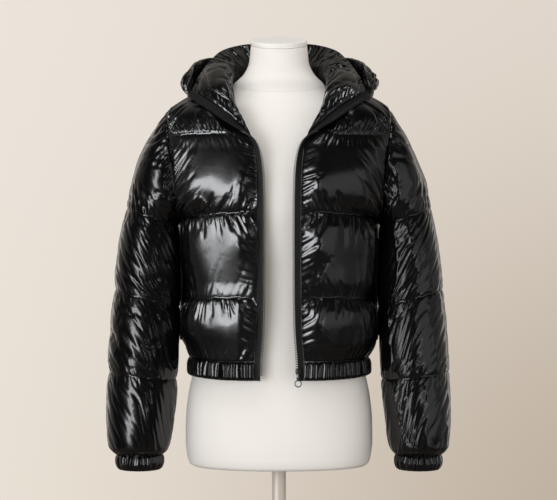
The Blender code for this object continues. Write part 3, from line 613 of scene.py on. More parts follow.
def grid_normals(grid, outside, around=False):
    """Unit normals of a grid of points, all on the side that "outside" points to."""
    if around:
        wide = np.concatenate([grid[:, -1:], grid, grid[:, :1]], axis=1)
        along = (wide[:, 2:] - wide[:, :-2]) / 2
    else:
        along = np.gradient(grid, axis=1)
    normal = unit(np.cross(along, np.gradient(grid, axis=0)))
    return -normal if (normal * outside(grid)).sum() < 0 else normal


def away_from_axis(grid):
    """The way from the upright axis to each point."""
    return grid * (1, 1, 0)


def channel_levels(first, last):
    """The levels of the rows of points from one seam to another."""
    return np.linspace(first, last, (last - first) * CHANNEL_ROWS + 1)


def puff(level):
    """How far the down stands out at this level, as a share of its most."""
    return np.abs(np.sin(math.pi * level)) ** PUFF_ROUNDNESS


def side_puff(level, inwards):
    """How full a panel is at this share of its width in from its side seam or armhole."""
    least = np.where(level < 2, SIDE_LEAST, 0.0)
    reach = np.where(level < 2, SIDE_REACH, ARMHOLE_REACH)
    return least + (1 - least) * ramp(inwards / reach)


def body_puff(level):
    """A yoke's down is thinner than a channel's, and the channels are fullest off centre."""
    within = level % 1
    settled = np.choose(np.floor(level).astype(int), SETTLED)
    most = np.where(level > 3, YOKE_PUFF, BODY_PUFF)
    return puff(level + settled * within * (1 - within)) * most


def across_and_deep(share, wrap):
    """Shares of a panel's width and depth, along an arc that turns by "wrap" degrees."""
    turn = np.radians(wrap)
    return (
        np.sin(share * turn) / np.sin(turn),
        (1 - np.cos(share * turn)) / (1 - np.cos(turn)),
    )


def front_grid(side):
    """One front's seam surface, its normals and its down's height."""
    level = channel_levels(0, 4)[:, None]
    share = np.linspace(0, 1, FRONT_COLUMNS)[None, :]
    row = read_rows(FRONT, level[:, 0])[:, None, :]
    x_in, y_in, z_in, x_out, y_out, z_out, wrap = (row[..., i] for i in range(7))
    across, deep = across_and_deep(share, wrap)
    base = np.stack([
        side * (x_in + (x_out - x_in) * across),
        y_in + (y_out - y_in) * deep,
        z_in + (z_out - z_in) * deep,
    ], axis=2) / 1000
    base[-1, :, 1] -= GAP
    base[base[:, :, 1] > -GAP, 1] = -GAP
    least = np.where(level < 3, ZIP_LEAST, NECK_LEAST)
    reach = np.where(level < 3, ZIP_REACH, NECK_REACH)
    height = body_puff(level) * side_puff(level, 1 - share) * (
        least + (1 - least) * ramp(share / reach)
    )
    # Flatter a third of the way over, and fuller two thirds of it.
    flatter = 0.28 * np.exp(-(((share - 0.33) / 0.16) ** 2))
    flatter = flatter - 0.18 * np.exp(-(((share - 0.66) / 0.14) ** 2))
    height = height * (1 - flatter * (level < 3))
    return base, grid_normals(base, away_from_axis), height


def back_points(level, part):
    """The back's seam surface in mm, at these levels and shares of its half width."""
    row = read_rows(BACK, level[:, 0])[:, None, :]
    y_mid, z_mid, x_out, y_out, z_out, wrap = (row[..., i] for i in range(6))
    across, deep = across_and_deep(part, wrap)
    point = np.stack(
        [x_out * across, y_mid + (y_out - y_mid) * deep, z_mid + (z_out - z_mid) * deep], axis=2
    )
    rise = np.maximum(level - 3, 0)[..., None]
    upper = read_rows(BACK_UPPER, part[0])[None]
    swell = np.sin(math.pi * rise) * np.array((0, 9, 12))
    return point * (1 - rise) + upper * rise + swell * (rise > 0)


def back_grid():
    """The same for the back, from its right edge to its left edge."""
    level = channel_levels(0, 4)[:, None]
    share = np.linspace(-1, 1, 2 * FRONT_COLUMNS - 1)[None, :]
    base = back_points(level, np.abs(share))
    top_edge = read_rows(BACK_TOP_EDGE, level[:, 0])[:, None]
    to_armhole = top_edge - back_points(level, np.ones((1, 1)))
    base = base + to_armhole * (share ** 4)[..., None] * (level > 3)[..., None]
    fuller = sum(part * np.exp(-(((level - at) / 0.2) ** 2)) for at, part in BACK_FULLER_AT)
    near_seam = np.sin(math.pi * np.clip((np.abs(share) - 0.6) / 0.4, 0, 1) ** 2)
    base[..., 0] += BACK_FULLER * fuller * near_seam
    base[..., 0] *= np.where(share < 0, -1, 1)
    base = base / 1000
    base[-1, :, 1] += GAP
    base[base[:, :, 1] < GAP, 1] = GAP
    height = body_puff(level) * side_puff(level, 1 - np.abs(share))
    return base, grid_normals(base, away_from_axis), height


def sleeve_grid(side, loop):
    """One sleeve's seam surface from the armhole's loop of points down to the cuff."""
    count = len(loop)
    even = np.arange(count) / count
    steps = np.linalg.norm(np.diff(loop, axis=0, append=loop[:1]), axis=1)
    travelled = np.concatenate([[0], np.cumsum(steps)])[:-1] / steps.sum()
    level = channel_levels(0, 4)[:, None]
    evened = ramp(level - 1)
    turn = 2 * math.pi * (travelled * (1 - evened) + even * evened)
    row = (read_rows(SLEEVE, level[:, 0]) / 1000)[:, None, :]
    x_outer, z_outer, x_inner, z_inner, depth, y_mid = (row[..., i] for i in range(6))
    rings = np.stack([
        side * ((x_outer + x_inner) / 2 - (x_outer - x_inner) / 2 * np.cos(turn)),
        y_mid - depth * np.sin(turn),
        (z_outer + z_inner) / 2 + (z_inner - z_outer) / 2 * np.cos(turn),
    ], axis=2)
    head = rings[0]
    part = np.minimum(level, 1)[..., None]
    base = np.where(level[..., None] < 1, loop * (1 - part) + head * part, rings)
    length = np.linalg.norm(head - loop, axis=1)
    height = puff(level) * np.where(
        level < 1, CAP_PUFF * np.minimum(1, length / 0.15), SLEEVE_PUFF
    )
    middle = base.mean(axis=1, keepdims=True)
    return base, grid_normals(base, lambda grid: grid - middle, around=True), height


def face_out(obj):
    """Turns every face of a closed mesh outwards."""
    shape = bmesh.new()
    shape.from_mesh(obj.data)
    bmesh.ops.recalc_face_normals(shape, faces=shape.faces)
    shape.to_mesh(obj.data)
    shape.free()


def panel(name, outer, inner, material, around=False):
    """A closed panel: its outer skin, and a plain lining with every fourth point."""
    rows, columns = outer.shape[:2]
    inner = inner[::4, ::4]
    in_rows, in_columns = inner.shape[:2]
    first = rows * columns

    def skin(count, width, start, flip):
        """The four-sided faces of one skin."""
        last = width if around else width - 1
        r, c = np.meshgrid(np.arange(count - 1), np.arange(last), indexing="ij")
        a = start + r * width + c
        b = start + r * width + (c + 1) % width
        quads = np.stack([a, b, b + width, a + width], axis=2).reshape(-1, 4)
        return quads[:, ::-1] if flip else quads

    faces = skin(rows, columns, 0, False).tolist()
    faces += skin(in_rows, in_columns, first, True).tolist()
    edges = [(0, 0, True), (rows - 1, in_rows - 1, False)]
    for row, in_row, turned_over in edges:
        for c in range(in_columns if around else in_columns - 1):
            near = [row * columns + (4 * c + i) % columns for i in range(5)]
            far = [first + in_row * in_columns + (c + i) % in_columns for i in (1, 0)]
            strip = near + far
            faces.append(strip[::-1] if turned_over else strip)
    if not around:
        for column, in_column, turned_over in ((0, 0, False), (columns - 1, in_columns - 1, True)):
            for r in range(in_rows - 1):
                near = [(4 * r + i) * columns + column for i in range(5)]
                far = [first + (r + i) * in_columns + in_column for i in (1, 0)]
                strip = near + far
                faces.append(strip[::-1] if turned_over else strip)
    points = np.concatenate([outer.reshape(-1, 3), inner.reshape(-1, 3)])
    index = np.arange(first).reshape(rows, columns)
    under = first + np.arange(in_rows * in_columns).reshape(in_rows, in_columns)
    runs = []
    for grid in (index, under):
        sides = [grid[0], grid[-1]] if around else [grid[0], grid[-1], grid[:, 0], grid[:, -1]]
        runs.append(np.concatenate(sides))
    obj = add_piece(name, points, faces, material, runs)
    face_out(obj)
    return obj


FOLD_WIDTH, MOST_TAKEN = 0.21, 0.85     # shares of the folds' spacing and of the down's height


def pinches(along, away, seed, spacing, reach, depth, fan=0.0, lean=0.0, wander=0.22):
    """How much of the down's height short folds take away, beside a seam.

    "along" and "away" are each point's distances along and from the seam. The folds lean
    outwards from the seam's middle by "fan", all the same way by "lean", and each its own
    way by up to "wander".
    """
    chance = np.random.default_rng(seed)
    along, away = np.broadcast_arrays(along, away)
    total = np.zeros(along.shape)
    low, high = along.min(), along.max()
    at = low - spacing
    while at < high + spacing:
        long = chance.uniform(*reach)
        deep = depth * chance.uniform(0.35, 1.0)
        tilt = lean + fan * (2 * (at - low) / (high - low) - 1) + chance.uniform(-wander, wander)
        wide = spacing * FOLD_WIDTH * chance.uniform(0.7, 1.3)
        near = away < long
        d = away[near] / long
        centre = at + tilt * away[near]
        fold = np.exp(-np.abs((along[near] - centre) / (wide * (1 + 1.2 * d))) ** 1.5)
        total[near] += deep * fold * (1 - d)
        at += spacing * chance.uniform(0.4, 1.6)
    return np.minimum(total, MOST_TAKEN)


def lengths(grid, axis):
    """How far each point is along its row or column."""
    steps = np.linalg.norm(np.diff(grid, axis=axis), axis=2)
    return np.insert(np.cumsum(steps, axis=axis), 0, 0, axis=axis)


def seam_pinches(grid, seams, seed, fan):
    """The folds on both sides of the seams, which are rows of the grid.

    Each seam is given as its row, then the folds' spacing, their least and most reach, their
    depth, how far each leans its own way and how far all slant one way across the seam.
    """
    up = lengths(grid, 0)
    along = lengths(grid, 1)
    taken = np.zeros(grid.shape[:2])
    for number, (row, spacing, least, most, depth, wander, slant) in enumerate(seams):
        from_seam = up - up[row]
        line = np.broadcast_to(along[row], from_seam.shape)
        for way in (-1, 1):
            away = np.where(from_seam * way >= 0, np.abs(from_seam), 1.0)
            taken += pinches(
                line, away, seed + 2 * number + way, spacing, (least, most), depth, fan,
                slant * way, wander,
            )
    return np.minimum(taken, MOST_TAKEN)


def slanted_folds(grid, seed, spacing=0.0150, long=0.036, depth=0.19, lean=-1.35):
    """Folds that cross a sleeve at a slant, each as long as a leaf and deepest in its middle."""
    chance = np.random.default_rng(seed)
    up, along = lengths(grid, 0), lengths(grid, 1)
    size = math.hypot(1, lean)
    taken = np.zeros(grid.shape[:2])
    for middle in np.arange(0, up.max(), long * 0.8):
        for at in np.arange(0, along.max(), spacing * size):
            y = middle + chance.uniform(-0.4, 0.4) * long
            x = at + chance.uniform(-0.3, 0.3) * spacing
            reach_now = long * chance.uniform(0.6, 1.3)
            deep, wide = depth * chance.uniform(0.4, 1.0), spacing * chance.uniform(0.22, 0.36)
            near = (np.abs(up - y) < reach_now) & (np.abs(along - x) < reach_now)
            dx, dy = along[near] - x, up[near] - y
            t = (dx - lean * dy) / size
            s = (lean * dx + dy) / size / reach_now
            taken[near] += deep * np.exp(-np.abs(t / wide) ** 1.7) * np.clip(1 - s ** 2, 0, 1) ** 1.5
    return taken * ramp(np.arange(len(grid)) / CHANNEL_ROWS * 2 - 1)[:, None]


SETTLE_FRAMES = 18


def settle(name, start, sewn, pressure, ease, reach, around=False):
    """How the cloth moves when the down blows it out: held along its seams, with some ease.

    Every second point is simulated and the rest follow.
    """
    coarse = start[::2, ::2]
    held = sewn[::2, ::2]
    rows, columns = coarse.shape[:2]
    chance = np.random.default_rng(rows * columns)
    points = coarse + chance.normal(0, 0.00005, coarse.shape) * (1 - held)[..., None]
    last = columns if around else columns - 1
    r, c = np.meshgrid(np.arange(rows - 1), np.arange(last), indexing="ij")
    a, b = r * columns + c, r * columns + (c + 1) % columns
    faces = np.stack([a, b, b + columns, a + columns], axis=2).reshape(-1, 4)
    mesh = bpy.data.meshes.new(name)
    mesh.from_pydata(points.reshape(-1, 3).tolist(), [], faces.tolist())
    obj = bpy.data.objects.new(name, mesh)
    scene.collection.objects.link(obj)
    group = obj.vertex_groups.new(name="sewn")
    for value in np.unique(held.round(2)):
        where = np.flatnonzero(held.round(2).ravel() == value)
        group.add(where.tolist(), float(value), "REPLACE")
    cloth = obj.modifiers.new("cloth", "CLOTH")
    settings = cloth.settings
    settings.quality = 5
    settings.mass = 0.15
    settings.tension_stiffness = 30
    settings.compression_stiffness = 12
    settings.shear_stiffness = 8
    settings.bending_stiffness = 1.5
    settings.air_damping = 2
    settings.vertex_group_mass = "sewn"
    settings.effector_weights.gravity = 0
    settings.use_pressure = True
    settings.uniform_pressure_force = pressure
    settings.shrink_min = -ease
    cloth.collision_settings.use_collision = False
    cloth.point_cache.frame_start = 1
    cloth.point_cache.frame_end = SETTLE_FRAMES
    for frame_number in range(1, SETTLE_FRAMES + 1):
        scene.frame_set(frame_number)
    found = obj.evaluated_get(bpy.context.evaluated_depsgraph_get())
    moved = np.empty(len(points.reshape(-1, 3)) * 3)
    found.data.vertices.foreach_get("co", moved)
    moved = moved.reshape(coarse.shape) - coarse
    bpy.data.objects.remove(obj)
    scene.frame_set(1)
    size = np.linalg.norm(moved, axis=2, keepdims=True) + 1e-9
    moved *= reach * np.tanh(size / reach) / size
    return finer(moved, around)


def finer(grid, around):
    """Points between each two, on smooth curves through them."""

    def between(values):
        ends = [values[:1] * 2 - values[1:2], values, values[-1:] * 2 - values[-2:-1]]
        wide = np.concatenate(ends)
        doubled = np.empty((2 * len(values) - 1, *values.shape[1:]))
        doubled[::2] = values
        doubled[1::2] = (9 * (wide[1:-2] + wide[2:-1]) - wide[:-3] - wide[3:]) / 16
        return doubled

    grid = between(grid)
    turned_over = grid.transpose(1, 0, 2)
    if around:
        wide = np.concatenate([turned_over[-2:], turned_over, turned_over[:3]])
        return between(wide)[4:-5].transpose(1, 0, 2)
    return between(turned_over).transpose(1, 0, 2)


SWELLS = 7


def lumps(grid, seed, size):
    """Soft, uneven swells of the down, from about -1 to 1 and about this far apart."""
    chance = np.random.default_rng(seed)
    total = np.zeros(grid.shape[:2])
    for _ in range(SWELLS):
        way = unit(chance.normal(size=3)) * 2 * math.pi / (size * chance.uniform(0.7, 1.5))
        total += np.sin(grid @ way + chance.uniform(0, 2 * math.pi))
    return total / SWELLS ** 0.5


# The shell's cloth: a dense black nylon with a wet-looking coat, creased very finely where
# the down pulls at it. The coat gives sharp reflections, the cloth under it wide dim ones.
crinkle, given, made = new_group(
    "fine_crinkles",
    [("Fine size", FLOAT, 260.0), ("Soft size", FLOAT, 70.0), ("Fine share", FLOAT, 0.25)],
    [("Height", FLOAT)],
)
where = add(crinkle, "ShaderNodeTexCoord")
fine = add(crinkle, "ShaderNodeTexNoise", Detail=3.0, Roughness=0.55)
soft = add(crinkle, "ShaderNodeTexNoise", Detail=2.0, Roughness=0.5, Distortion=0.8)
both = add(crinkle, "ShaderNodeMix", data_type="FLOAT")
wire(
    crinkle, (where, "Object", fine, "Vector"), (where, "Object", soft, "Vector"),
    (given, "Fine size", fine, "Scale"), (given, "Soft size", soft, "Scale"),
    (given, "Fine share", both, 0), (soft, "Fac", both, 2), (fine, "Fac", both, 3),
    (both, 0, made, "Height"),
)


def nylon_material(name, depth, soft_size, roughness):
    """Lacquered black nylon, with crinkles of this depth and size."""
    made, tree, shader = new_material(name)
    shader.inputs["Base Color"].default_value = (0.0020, 0.0020, 0.0024, 1)
    shader.inputs["Roughness"].default_value = roughness
    shader.inputs["Specular IOR Level"].default_value = 0.45
    shader.inputs["Coat Weight"].default_value = 0.25
    shader.inputs["Coat Roughness"].default_value = 0.12
    shader.inputs["Coat IOR"].default_value = 1.45
    height = place_group(tree, crinkle, Fine_size=420.0, Soft_size=soft_size, Fine_share=0.15)
    bump = add(tree, "ShaderNodeBump", Strength=0.35, Distance=depth)
    wire(
        tree, (height, "Height", bump, "Height"), (bump, "Normal", shader, "Normal"),
        (bump, "Normal", shader, "Coat Normal"),
    )
    return made


nylon = nylon_material("black_nylon", depth=0.0006, soft_size=70.0, roughness=0.25)
BODY_SETTLE, SLEEVE_SETTLE = (0.02, 0.0026), (0.008, 0.0015)    # the cloth's ease and reach
SIMULATED_FROM = 0.9            # share of the down's height that the simulation starts at
PRESSURE = 5.0
SWELL, SWELL_SIZE = 0.10, 0.075         # a share of the down's height, and in metres
FREE_OF_SEAM = 0.028                    # how far from a seam the cloth moves freely
WOBBLE, WOBBLE_SIZE, WOBBLE_REACH, WOBBLE_END = 0.0011, 0.014, 0.006, 0.01


def quilted(base, normal, height, seed, seams, sides=(), around=False, most=None):
    """A panel's outer points: swollen by its down, then pinched beside every seam.

    "sides" are the folds beside its first and last columns, and "most" is the height that
    the down is held to, as under a pocket's welt.
    """
    rows, columns = base.shape[:2]
    sewn = np.zeros((rows, columns))
    sewn[::CHANNEL_ROWS] = 1
    if not around:
        sewn[:, 0] = sewn[:, -1] = 1
    uneven = height * (1 + SWELL * lumps(base, seed, SWELL_SIZE))
    start = base + normal * (uneven * SIMULATED_FROM)[..., None]
    ease, reach = SLEEVE_SETTLE if around else BODY_SETTLE
    moved = settle(f"cloth_{seed}", start, sewn, PRESSURE, ease, reach, around)
    folds = seam_pinches(base, seams, seed, 0.0 if around else 0.5)
    if around:
        folds += slanted_folds(base, seed)
    up, across = lengths(base, 0), lengths(base, 1)
    clear = np.min([np.abs(up - seam) for seam in up[::CHANNEL_ROWS]], axis=0)
    if not around:
        clear = np.minimum(clear, np.minimum(across, across[:, -1:] - across))
    for edge, low, high, *fold in sides:
        away = across if edge == "first" else across[:, -1:] - across
        here = slice(low * CHANNEL_ROWS, high * CHANNEL_ROWS + 1)
        folds[here] += pinches(up[here], away[here], seed + 50 + low, *fold)
    folds = np.minimum(folds, MOST_TAKEN)
    free = ramp(clear / FREE_OF_SEAM) * (1 - 0.4 * folds)
    outer = normal * (uneven * (1 - folds))[..., None] + moved * free[..., None]
    # The folds pull the stitched lines themselves to and fro.
    rise = unit(np.gradient(base, axis=0))
    for row in range(CHANNEL_ROWS, rows - 1, CHANNEL_ROWS):
        wobble = WOBBLE * lumps(base[row:row + 1], seed + row, WOBBLE_SIZE)
        if not around:
            to_end = across[row, -1] - across[row]
            wobble = wobble * ramp(across[row] / WOBBLE_END) * ramp(to_end / WOBBLE_END)
        near = np.exp(-(((up - up[row]) / WOBBLE_REACH) ** 2))
        outer += rise * (wobble * near)[..., None]
    if most is not None:
        over = np.maximum((outer * normal).sum(axis=2) - most, 0)
        outer -= normal * over[..., None]
    return base + outer


# Where the pockets' welts lie: levels up the front, and shares of its width. The down is held
# this far beyond them, and comes free over this much more.
WELT_ZONE = (0.35, 1.5, 0.79, 0.93)
HELD_LEVELS, HELD_SHARE, FREED_LEVELS, FREED_SHARE = 0.08, 0.035, 0.05, 0.025


def most_height(height):
    """The down's most height on a front, held down where the welt lies on it."""
    level = channel_levels(0, 4)[:, None]
    share = np.linspace(0, 1, FRONT_COLUMNS)[None, :]
    low, high, near, far = WELT_ZONE
    inside = ramp((level - low + HELD_LEVELS) / FREED_LEVELS)
    inside = inside * ramp((high + HELD_LEVELS - level) / FREED_LEVELS)
    inside = inside * ramp((share - near + HELD_SHARE) / FREED_SHARE)
    inside = inside * ramp((far + HELD_SHARE - share) / FREED_SHARE)
    return height + 0.0002 + (1 - inside) * 0.02


# The folds along the seams: row, spacing, least and most reach (m), depth, wander, slant. A
# seam has many short folds and some long ones, which cross a sleeve's channels at a slant.
BODY_SEAMS = (
    (0, 0.0062, 0.010, 0.032, 0.62, 0.25, 0.0),
    (0, 0.0190, 0.030, 0.070, 0.35, 0.5, 0.0),
    (CHANNEL_ROWS, 0.0066, 0.012, 0.042, 0.68, 0.25, 0.0),
    (CHANNEL_ROWS, 0.0170, 0.035, 0.080, 0.30, 0.5, 0.0),
    (2 * CHANNEL_ROWS, 0.0066, 0.012, 0.046, 0.68, 0.25, 0.0),
    (2 * CHANNEL_ROWS, 0.0170, 0.035, 0.080, 0.30, 0.5, 0.0),
    (3 * CHANNEL_ROWS, 0.0054, 0.014, 0.040, 0.85, 0.15, 0.0),
    (4 * CHANNEL_ROWS, 0.0080, 0.010, 0.030, 0.45, 0.2, 0.0),
)
SLEEVE_SEAMS = (
    (0, 0.0080, 0.020, 0.055, 0.50, 0.2, 0.5),
    (0, 0.0180, 0.050, 0.110, 0.45, 0.2, 0.9),
    (CHANNEL_ROWS, 0.0072, 0.010, 0.030, 0.60, 0.25, -0.4),
    (CHANNEL_ROWS, 0.0140, 0.030, 0.070, 0.36, 0.15, -1.1),
    (2 * CHANNEL_ROWS, 0.0072, 0.010, 0.030, 0.60, 0.25, -0.4),
    (2 * CHANNEL_ROWS, 0.0140, 0.030, 0.070, 0.36, 0.15, -1.1),
    (3 * CHANNEL_ROWS, 0.0072, 0.010, 0.030, 0.60, 0.25, -0.4),
    (3 * CHANNEL_ROWS, 0.0140, 0.030, 0.070, 0.36, 0.15, -1.1),
    (4 * CHANNEL_ROWS, 0.0066, 0.010, 0.030, 0.55, 0.25, -0.1),
    (4 * CHANNEL_ROWS, 0.0140, 0.030, 0.070, 0.34, 0.2, -0.7),
)
# The folds along a panel's upright edges: edge, from and to which seam, spacing, reach,
# depth, fan and lean.
ZIP_FOLDS = ("first", 0, 3, 0.0085, (0.012, 0.036), 0.62, 0.0, 0.45)
NECK_FOLDS = ("first", 3, 4, 0.0075, (0.010, 0.040), 0.5, 0.0, 0.3)
SIDE_FOLDS = ("last", 0, 2, 0.0090, (0.010, 0.040), 0.55, 0.0, 0.2)
ARMHOLE_FOLDS = ("last", 2, 4, 0.0085, (0.020, 0.080), 0.65, 0.0, 0.6)
# The sleeves rest on the body, on a plane that leans out towards the back, below the armpit.
REST_LEAN, REST_Y = 0.12, 0.015
REST_SOFT, REST_APART = 0.0015, 0.0005
ARMPIT, ARMPIT_REACH, CLEAR_OF_ALL = 1.220, 0.04, 0.08


def resting(points, sleeve):
    """The points of a sleeve or of the body, pressed flat where the one rests on the other."""
    x, y, z = np.abs(points[..., 0]), points[..., 1], points[..., 2]
    rows = np.array(SLEEVE[4::-1]) / 1000      # the sleeve's inner line, from the third seam up
    meet = np.interp(z, rows[:, 4], rows[:, 3]) - 0.0002 + REST_LEAN * (y - REST_Y)
    off = CLEAR_OF_ALL * ramp((z - ARMPIT) / ARMPIT_REACH)
    way = 1 if sleeve else -1
    edge = meet + way * (REST_SOFT - off) - (0 if sleeve else REST_APART)
    softly = edge + REST_SOFT * np.tanh((x - edge) / REST_SOFT)
    pressed = np.sign(points[..., 0]) * np.where((x - edge) * way < 0, softly, x)
    return np.concatenate([pressed[..., None], points[..., 1:]], axis=-1)


def other_edge(folds):
    """The same folds along a panel's other edge."""
    return ("first" if folds[0] == "last" else "last", *folds[1:])


sleeves = {}
back_base, back_normal, back_height = back_grid()
back_inner = back_base - back_normal * WALL
fronts = {}
armhole_row = 2 * CHANNEL_ROWS
for word, side in (("right", -1), ("left", 1)):
    base, normal, height = front_grid(side)
    fronts[word] = (base, normal, height)
    at_back = (slice(armhole_row, None), 0 if side < 0 else -1)
    front_edge, back_edge = base[armhole_row:, -1], back_base[at_back]
    loop = np.array([
        (front_edge[0] + back_edge[0]) / 2, *front_edge[1:-1],
        (front_edge[-1] + back_edge[-1]) / 2, *back_edge[1:-1][::-1],
    ])
    sleeve_base, sleeve_normal, sleeve_height = sleeve_grid(side, loop)
    sleeve_base[:, :, 0] += side * 2 * GAP
    # The walls that meet at the armhole all lean the same way there.
    up_front = np.arange(len(loop) // 2 + 1)
    up_back = -up_front % len(loop)
    lean = np.zeros_like(loop)
    lean[up_front] += normal[armhole_row:, -1]
    lean[up_back] += back_normal[at_back]
    lean = unit(unit(lean) + sleeve_normal[0])
    inner = base - normal * WALL
    inner[armhole_row:, -1] = base[armhole_row:, -1] - lean[up_front] * WALL
    back_inner[at_back] = back_base[at_back] - lean[up_back] * WALL
    sleeve_inner = sleeve_base - sleeve_normal * WALL
    sleeve_inner[0] = sleeve_base[0] - lean * WALL
    seed = 100 if side < 0 else 200
    sides = (ZIP_FOLDS, NECK_FOLDS, SIDE_FOLDS, ARMHOLE_FOLDS)
    outer = quilted(base, normal, height, seed, BODY_SEAMS, sides, most=most_height(height))
    shell = panel(f"{word}_front_shell", resting(outer, False), resting(inner, False), nylon)
    sleeves[word] = (sleeve_base, sleeve_normal)
    outer = quilted(
        sleeve_base, sleeve_normal, sleeve_height, seed + 300, SLEEVE_SEAMS, around=True
    )
    outer, sleeve_inner = resting(outer, True), resting(sleeve_inner, True)
    sleeve = panel(f"{word}_sleeve_shell", outer, sleeve_inner, nylon, around=True)
    also_flagged = ("right_card", "right_wing") if side < 0 else ()
    lit_apart(sleeve, f"{word}_sleeve_box", also_flagged)
    for piece, node in ((shell, f"{word}_front"), (sleeve, f"{word}_sleeve")):
        fasten(piece, node)
sides = [edge(f) for f in (SIDE_FOLDS, ARMHOLE_FOLDS) for edge in (tuple, other_edge)]
outer = quilted(back_base, back_normal, back_height, 700, BODY_SEAMS, sides)
back_shell = panel("back_shell", resting(outer, False), resting(back_inner, False), nylon)
fasten(back_shell, "back")

# The hem band and the cuffs. Each is a strip of the same nylon, folded over wide elastic and
# stitched to the body or the sleeve at full stretch, so it draws up into narrow, slightly
# uneven gathers.
HEM_GATHERS, CUFF_GATHERS, GATHER_POINTS = 80, 22, 16
GATHER_DEPTH = 0.0028
SHIFT, TILT, TALLER, FOLDED = 0.30, 0.42, 0.28, 0.14    # how uneven the gathers are
HEM_BOTTOM, HEM_HALF_WIDTH, HEM_SIDE_RISE = 0.9540, 0.153, 0.0035
CUFF_TOP, CUFF_BOTTOM, CUFF_Y = 0.8205, 0.7965, -0.018
BAND_SECTION = (
    # share of the height, how far out of the seam, share of the gathers' depth
    (0.0, 0.0004, 0.45),
    (0.12, 0.0016, 0.9),
    (0.4, 0.0030, 1.0),
    (0.8, 0.0030, 1.0),
    (0.93, 0.0022, 0.85),
    (1.0, 0.0006, 0.5),
)
CUFF = (
    # share of its height, x_outer, x_inner, half_depth (mm)
    (0.0, 276.5, 199.5, 41),
    (0.5, 276.0, 200.0, 42),
    (1.0, 272.0, 204.0, 38),
)


def gathers(count, shares, seed, around):
    """The height of each point of a gathered strip, for its rows at these shares."""
    chance = np.random.default_rng(seed)
    place = np.arange(count * GATHER_POINTS + (0 if around else 1)) / GATHER_POINTS
    knots = np.arange(count + 1)
    shift, tall, tilt, join = (chance.uniform(-1, 1, count + 1) for _ in range(4))
    if around:
        for values in (shift, tall, tilt, join):
            values[-1] = values[0]
    shift, tall, tilt, join = (np.interp(place, knots, v) for v in (shift, tall, tilt, join))
    share = np.asarray(shares)[:, None]
    phase = place + SHIFT * shift + TILT * tilt * (share - 0.5)
    wave = 1 - np.abs(np.sin(math.pi * phase)) ** 0.8
    fold = np.abs(np.sin(2 * math.pi * phase + 2 * join)) * FOLDED * (join > 0)
    return (1 - 0.92 * wave) * (1 + TALLER * tall) * GATHER_DEPTH - fold * GATHER_DEPTH


def run_lengths(path):
    """How far each point of a line is along it."""
    return np.concatenate([[0], np.cumsum(np.linalg.norm(np.diff(path, axis=0), axis=1))])


def read_along(values, places, wanted):
    """A line's values, known at these places along it, at the wanted ones."""
    return np.stack([np.interp(wanted, places, column) for column in values.T], axis=1)


band_shares = np.linspace(0, 1, 17)
hem_path = np.concatenate([fronts["right"][0][0], back_base[0], fronts["left"][0][0, ::-1]])
hem_places = run_lengths(hem_path)
hem_line = read_along(
    hem_path, hem_places, np.linspace(0, hem_places[-1], HEM_GATHERS * GATHER_POINTS + 1)
)
hem_line[:, 2] -= 2 * GAP
hem_out = unit(np.cross(np.gradient(hem_line, axis=0) * (1, 1, 0), (0, 0, 1)))
if (hem_out * hem_line).sum() < 0:
    hem_out = -hem_out
hem_bottom = HEM_BOTTOM + HEM_SIDE_RISE * (np.abs(hem_line[:, 0]) / HEM_HALF_WIDTH) ** 4


def hem_rows(shares):
    """The hem band's middle, at these shares of its height."""
    rows = np.repeat(hem_line[None], len(shares), axis=0)
    rows[:, :, 2] += (hem_bottom - hem_line[:, 2]) * np.asarray(shares)[:, None]
    return rows


band_nylon = nylon_material("gathered_nylon", depth=0.0004, soft_size=120.0, roughness=0.20)
stand = read_rows(BAND_SECTION, band_shares)
wave = gathers(HEM_GATHERS, band_shares, 11, False)
outer = hem_rows(band_shares) + hem_out * (stand[:, :1] + wave * stand[:, 1:])[..., None]
inner = hem_rows(band_shares) - hem_out * WALL
hem = panel("hem_gathers", outer, inner, band_nylon)
lit_apart(hem, "right_sleeve_box")
fasten(hem, "hem_band")


def cuff_rings(side, shares, out):
    """The rings of one cuff, each point moved this far out."""
    x_outer, x_inner, half_depth = (read_rows(CUFF, shares) / 1000).T[:, :, None]
    middle, half = (x_outer + x_inner) / 2, (x_outer - x_inner) / 2
    turns = 2 * math.pi * np.arange(out.shape[1]) / out.shape[1]
    height = CUFF_TOP - GAP + (CUFF_BOTTOM - CUFF_TOP) * np.asarray(shares)[:, None]
    return np.stack([
        side * (middle - (half + out) * np.cos(turns)),
        CUFF_Y - (half_depth + out) * np.sin(turns),
        height + out * 0,
    ], axis=2)


for word, side in (("right", -1), ("left", 1)):
    wave = gathers(CUFF_GATHERS, band_shares, 12 + side, True)
    outer = cuff_rings(side, band_shares, stand[:, :1] * 0.3 + wave * stand[:, 1:])
    inner = cuff_rings(side, band_shares, np.full(wave.shape, -WALL))
    cuff = panel(f"{word}_cuff_gathers", outer, inner, band_nylon, around=True)
    lit_apart(cuff, f"{word}_sleeve_box")
    fasten(cuff, f"{word}_cuff")

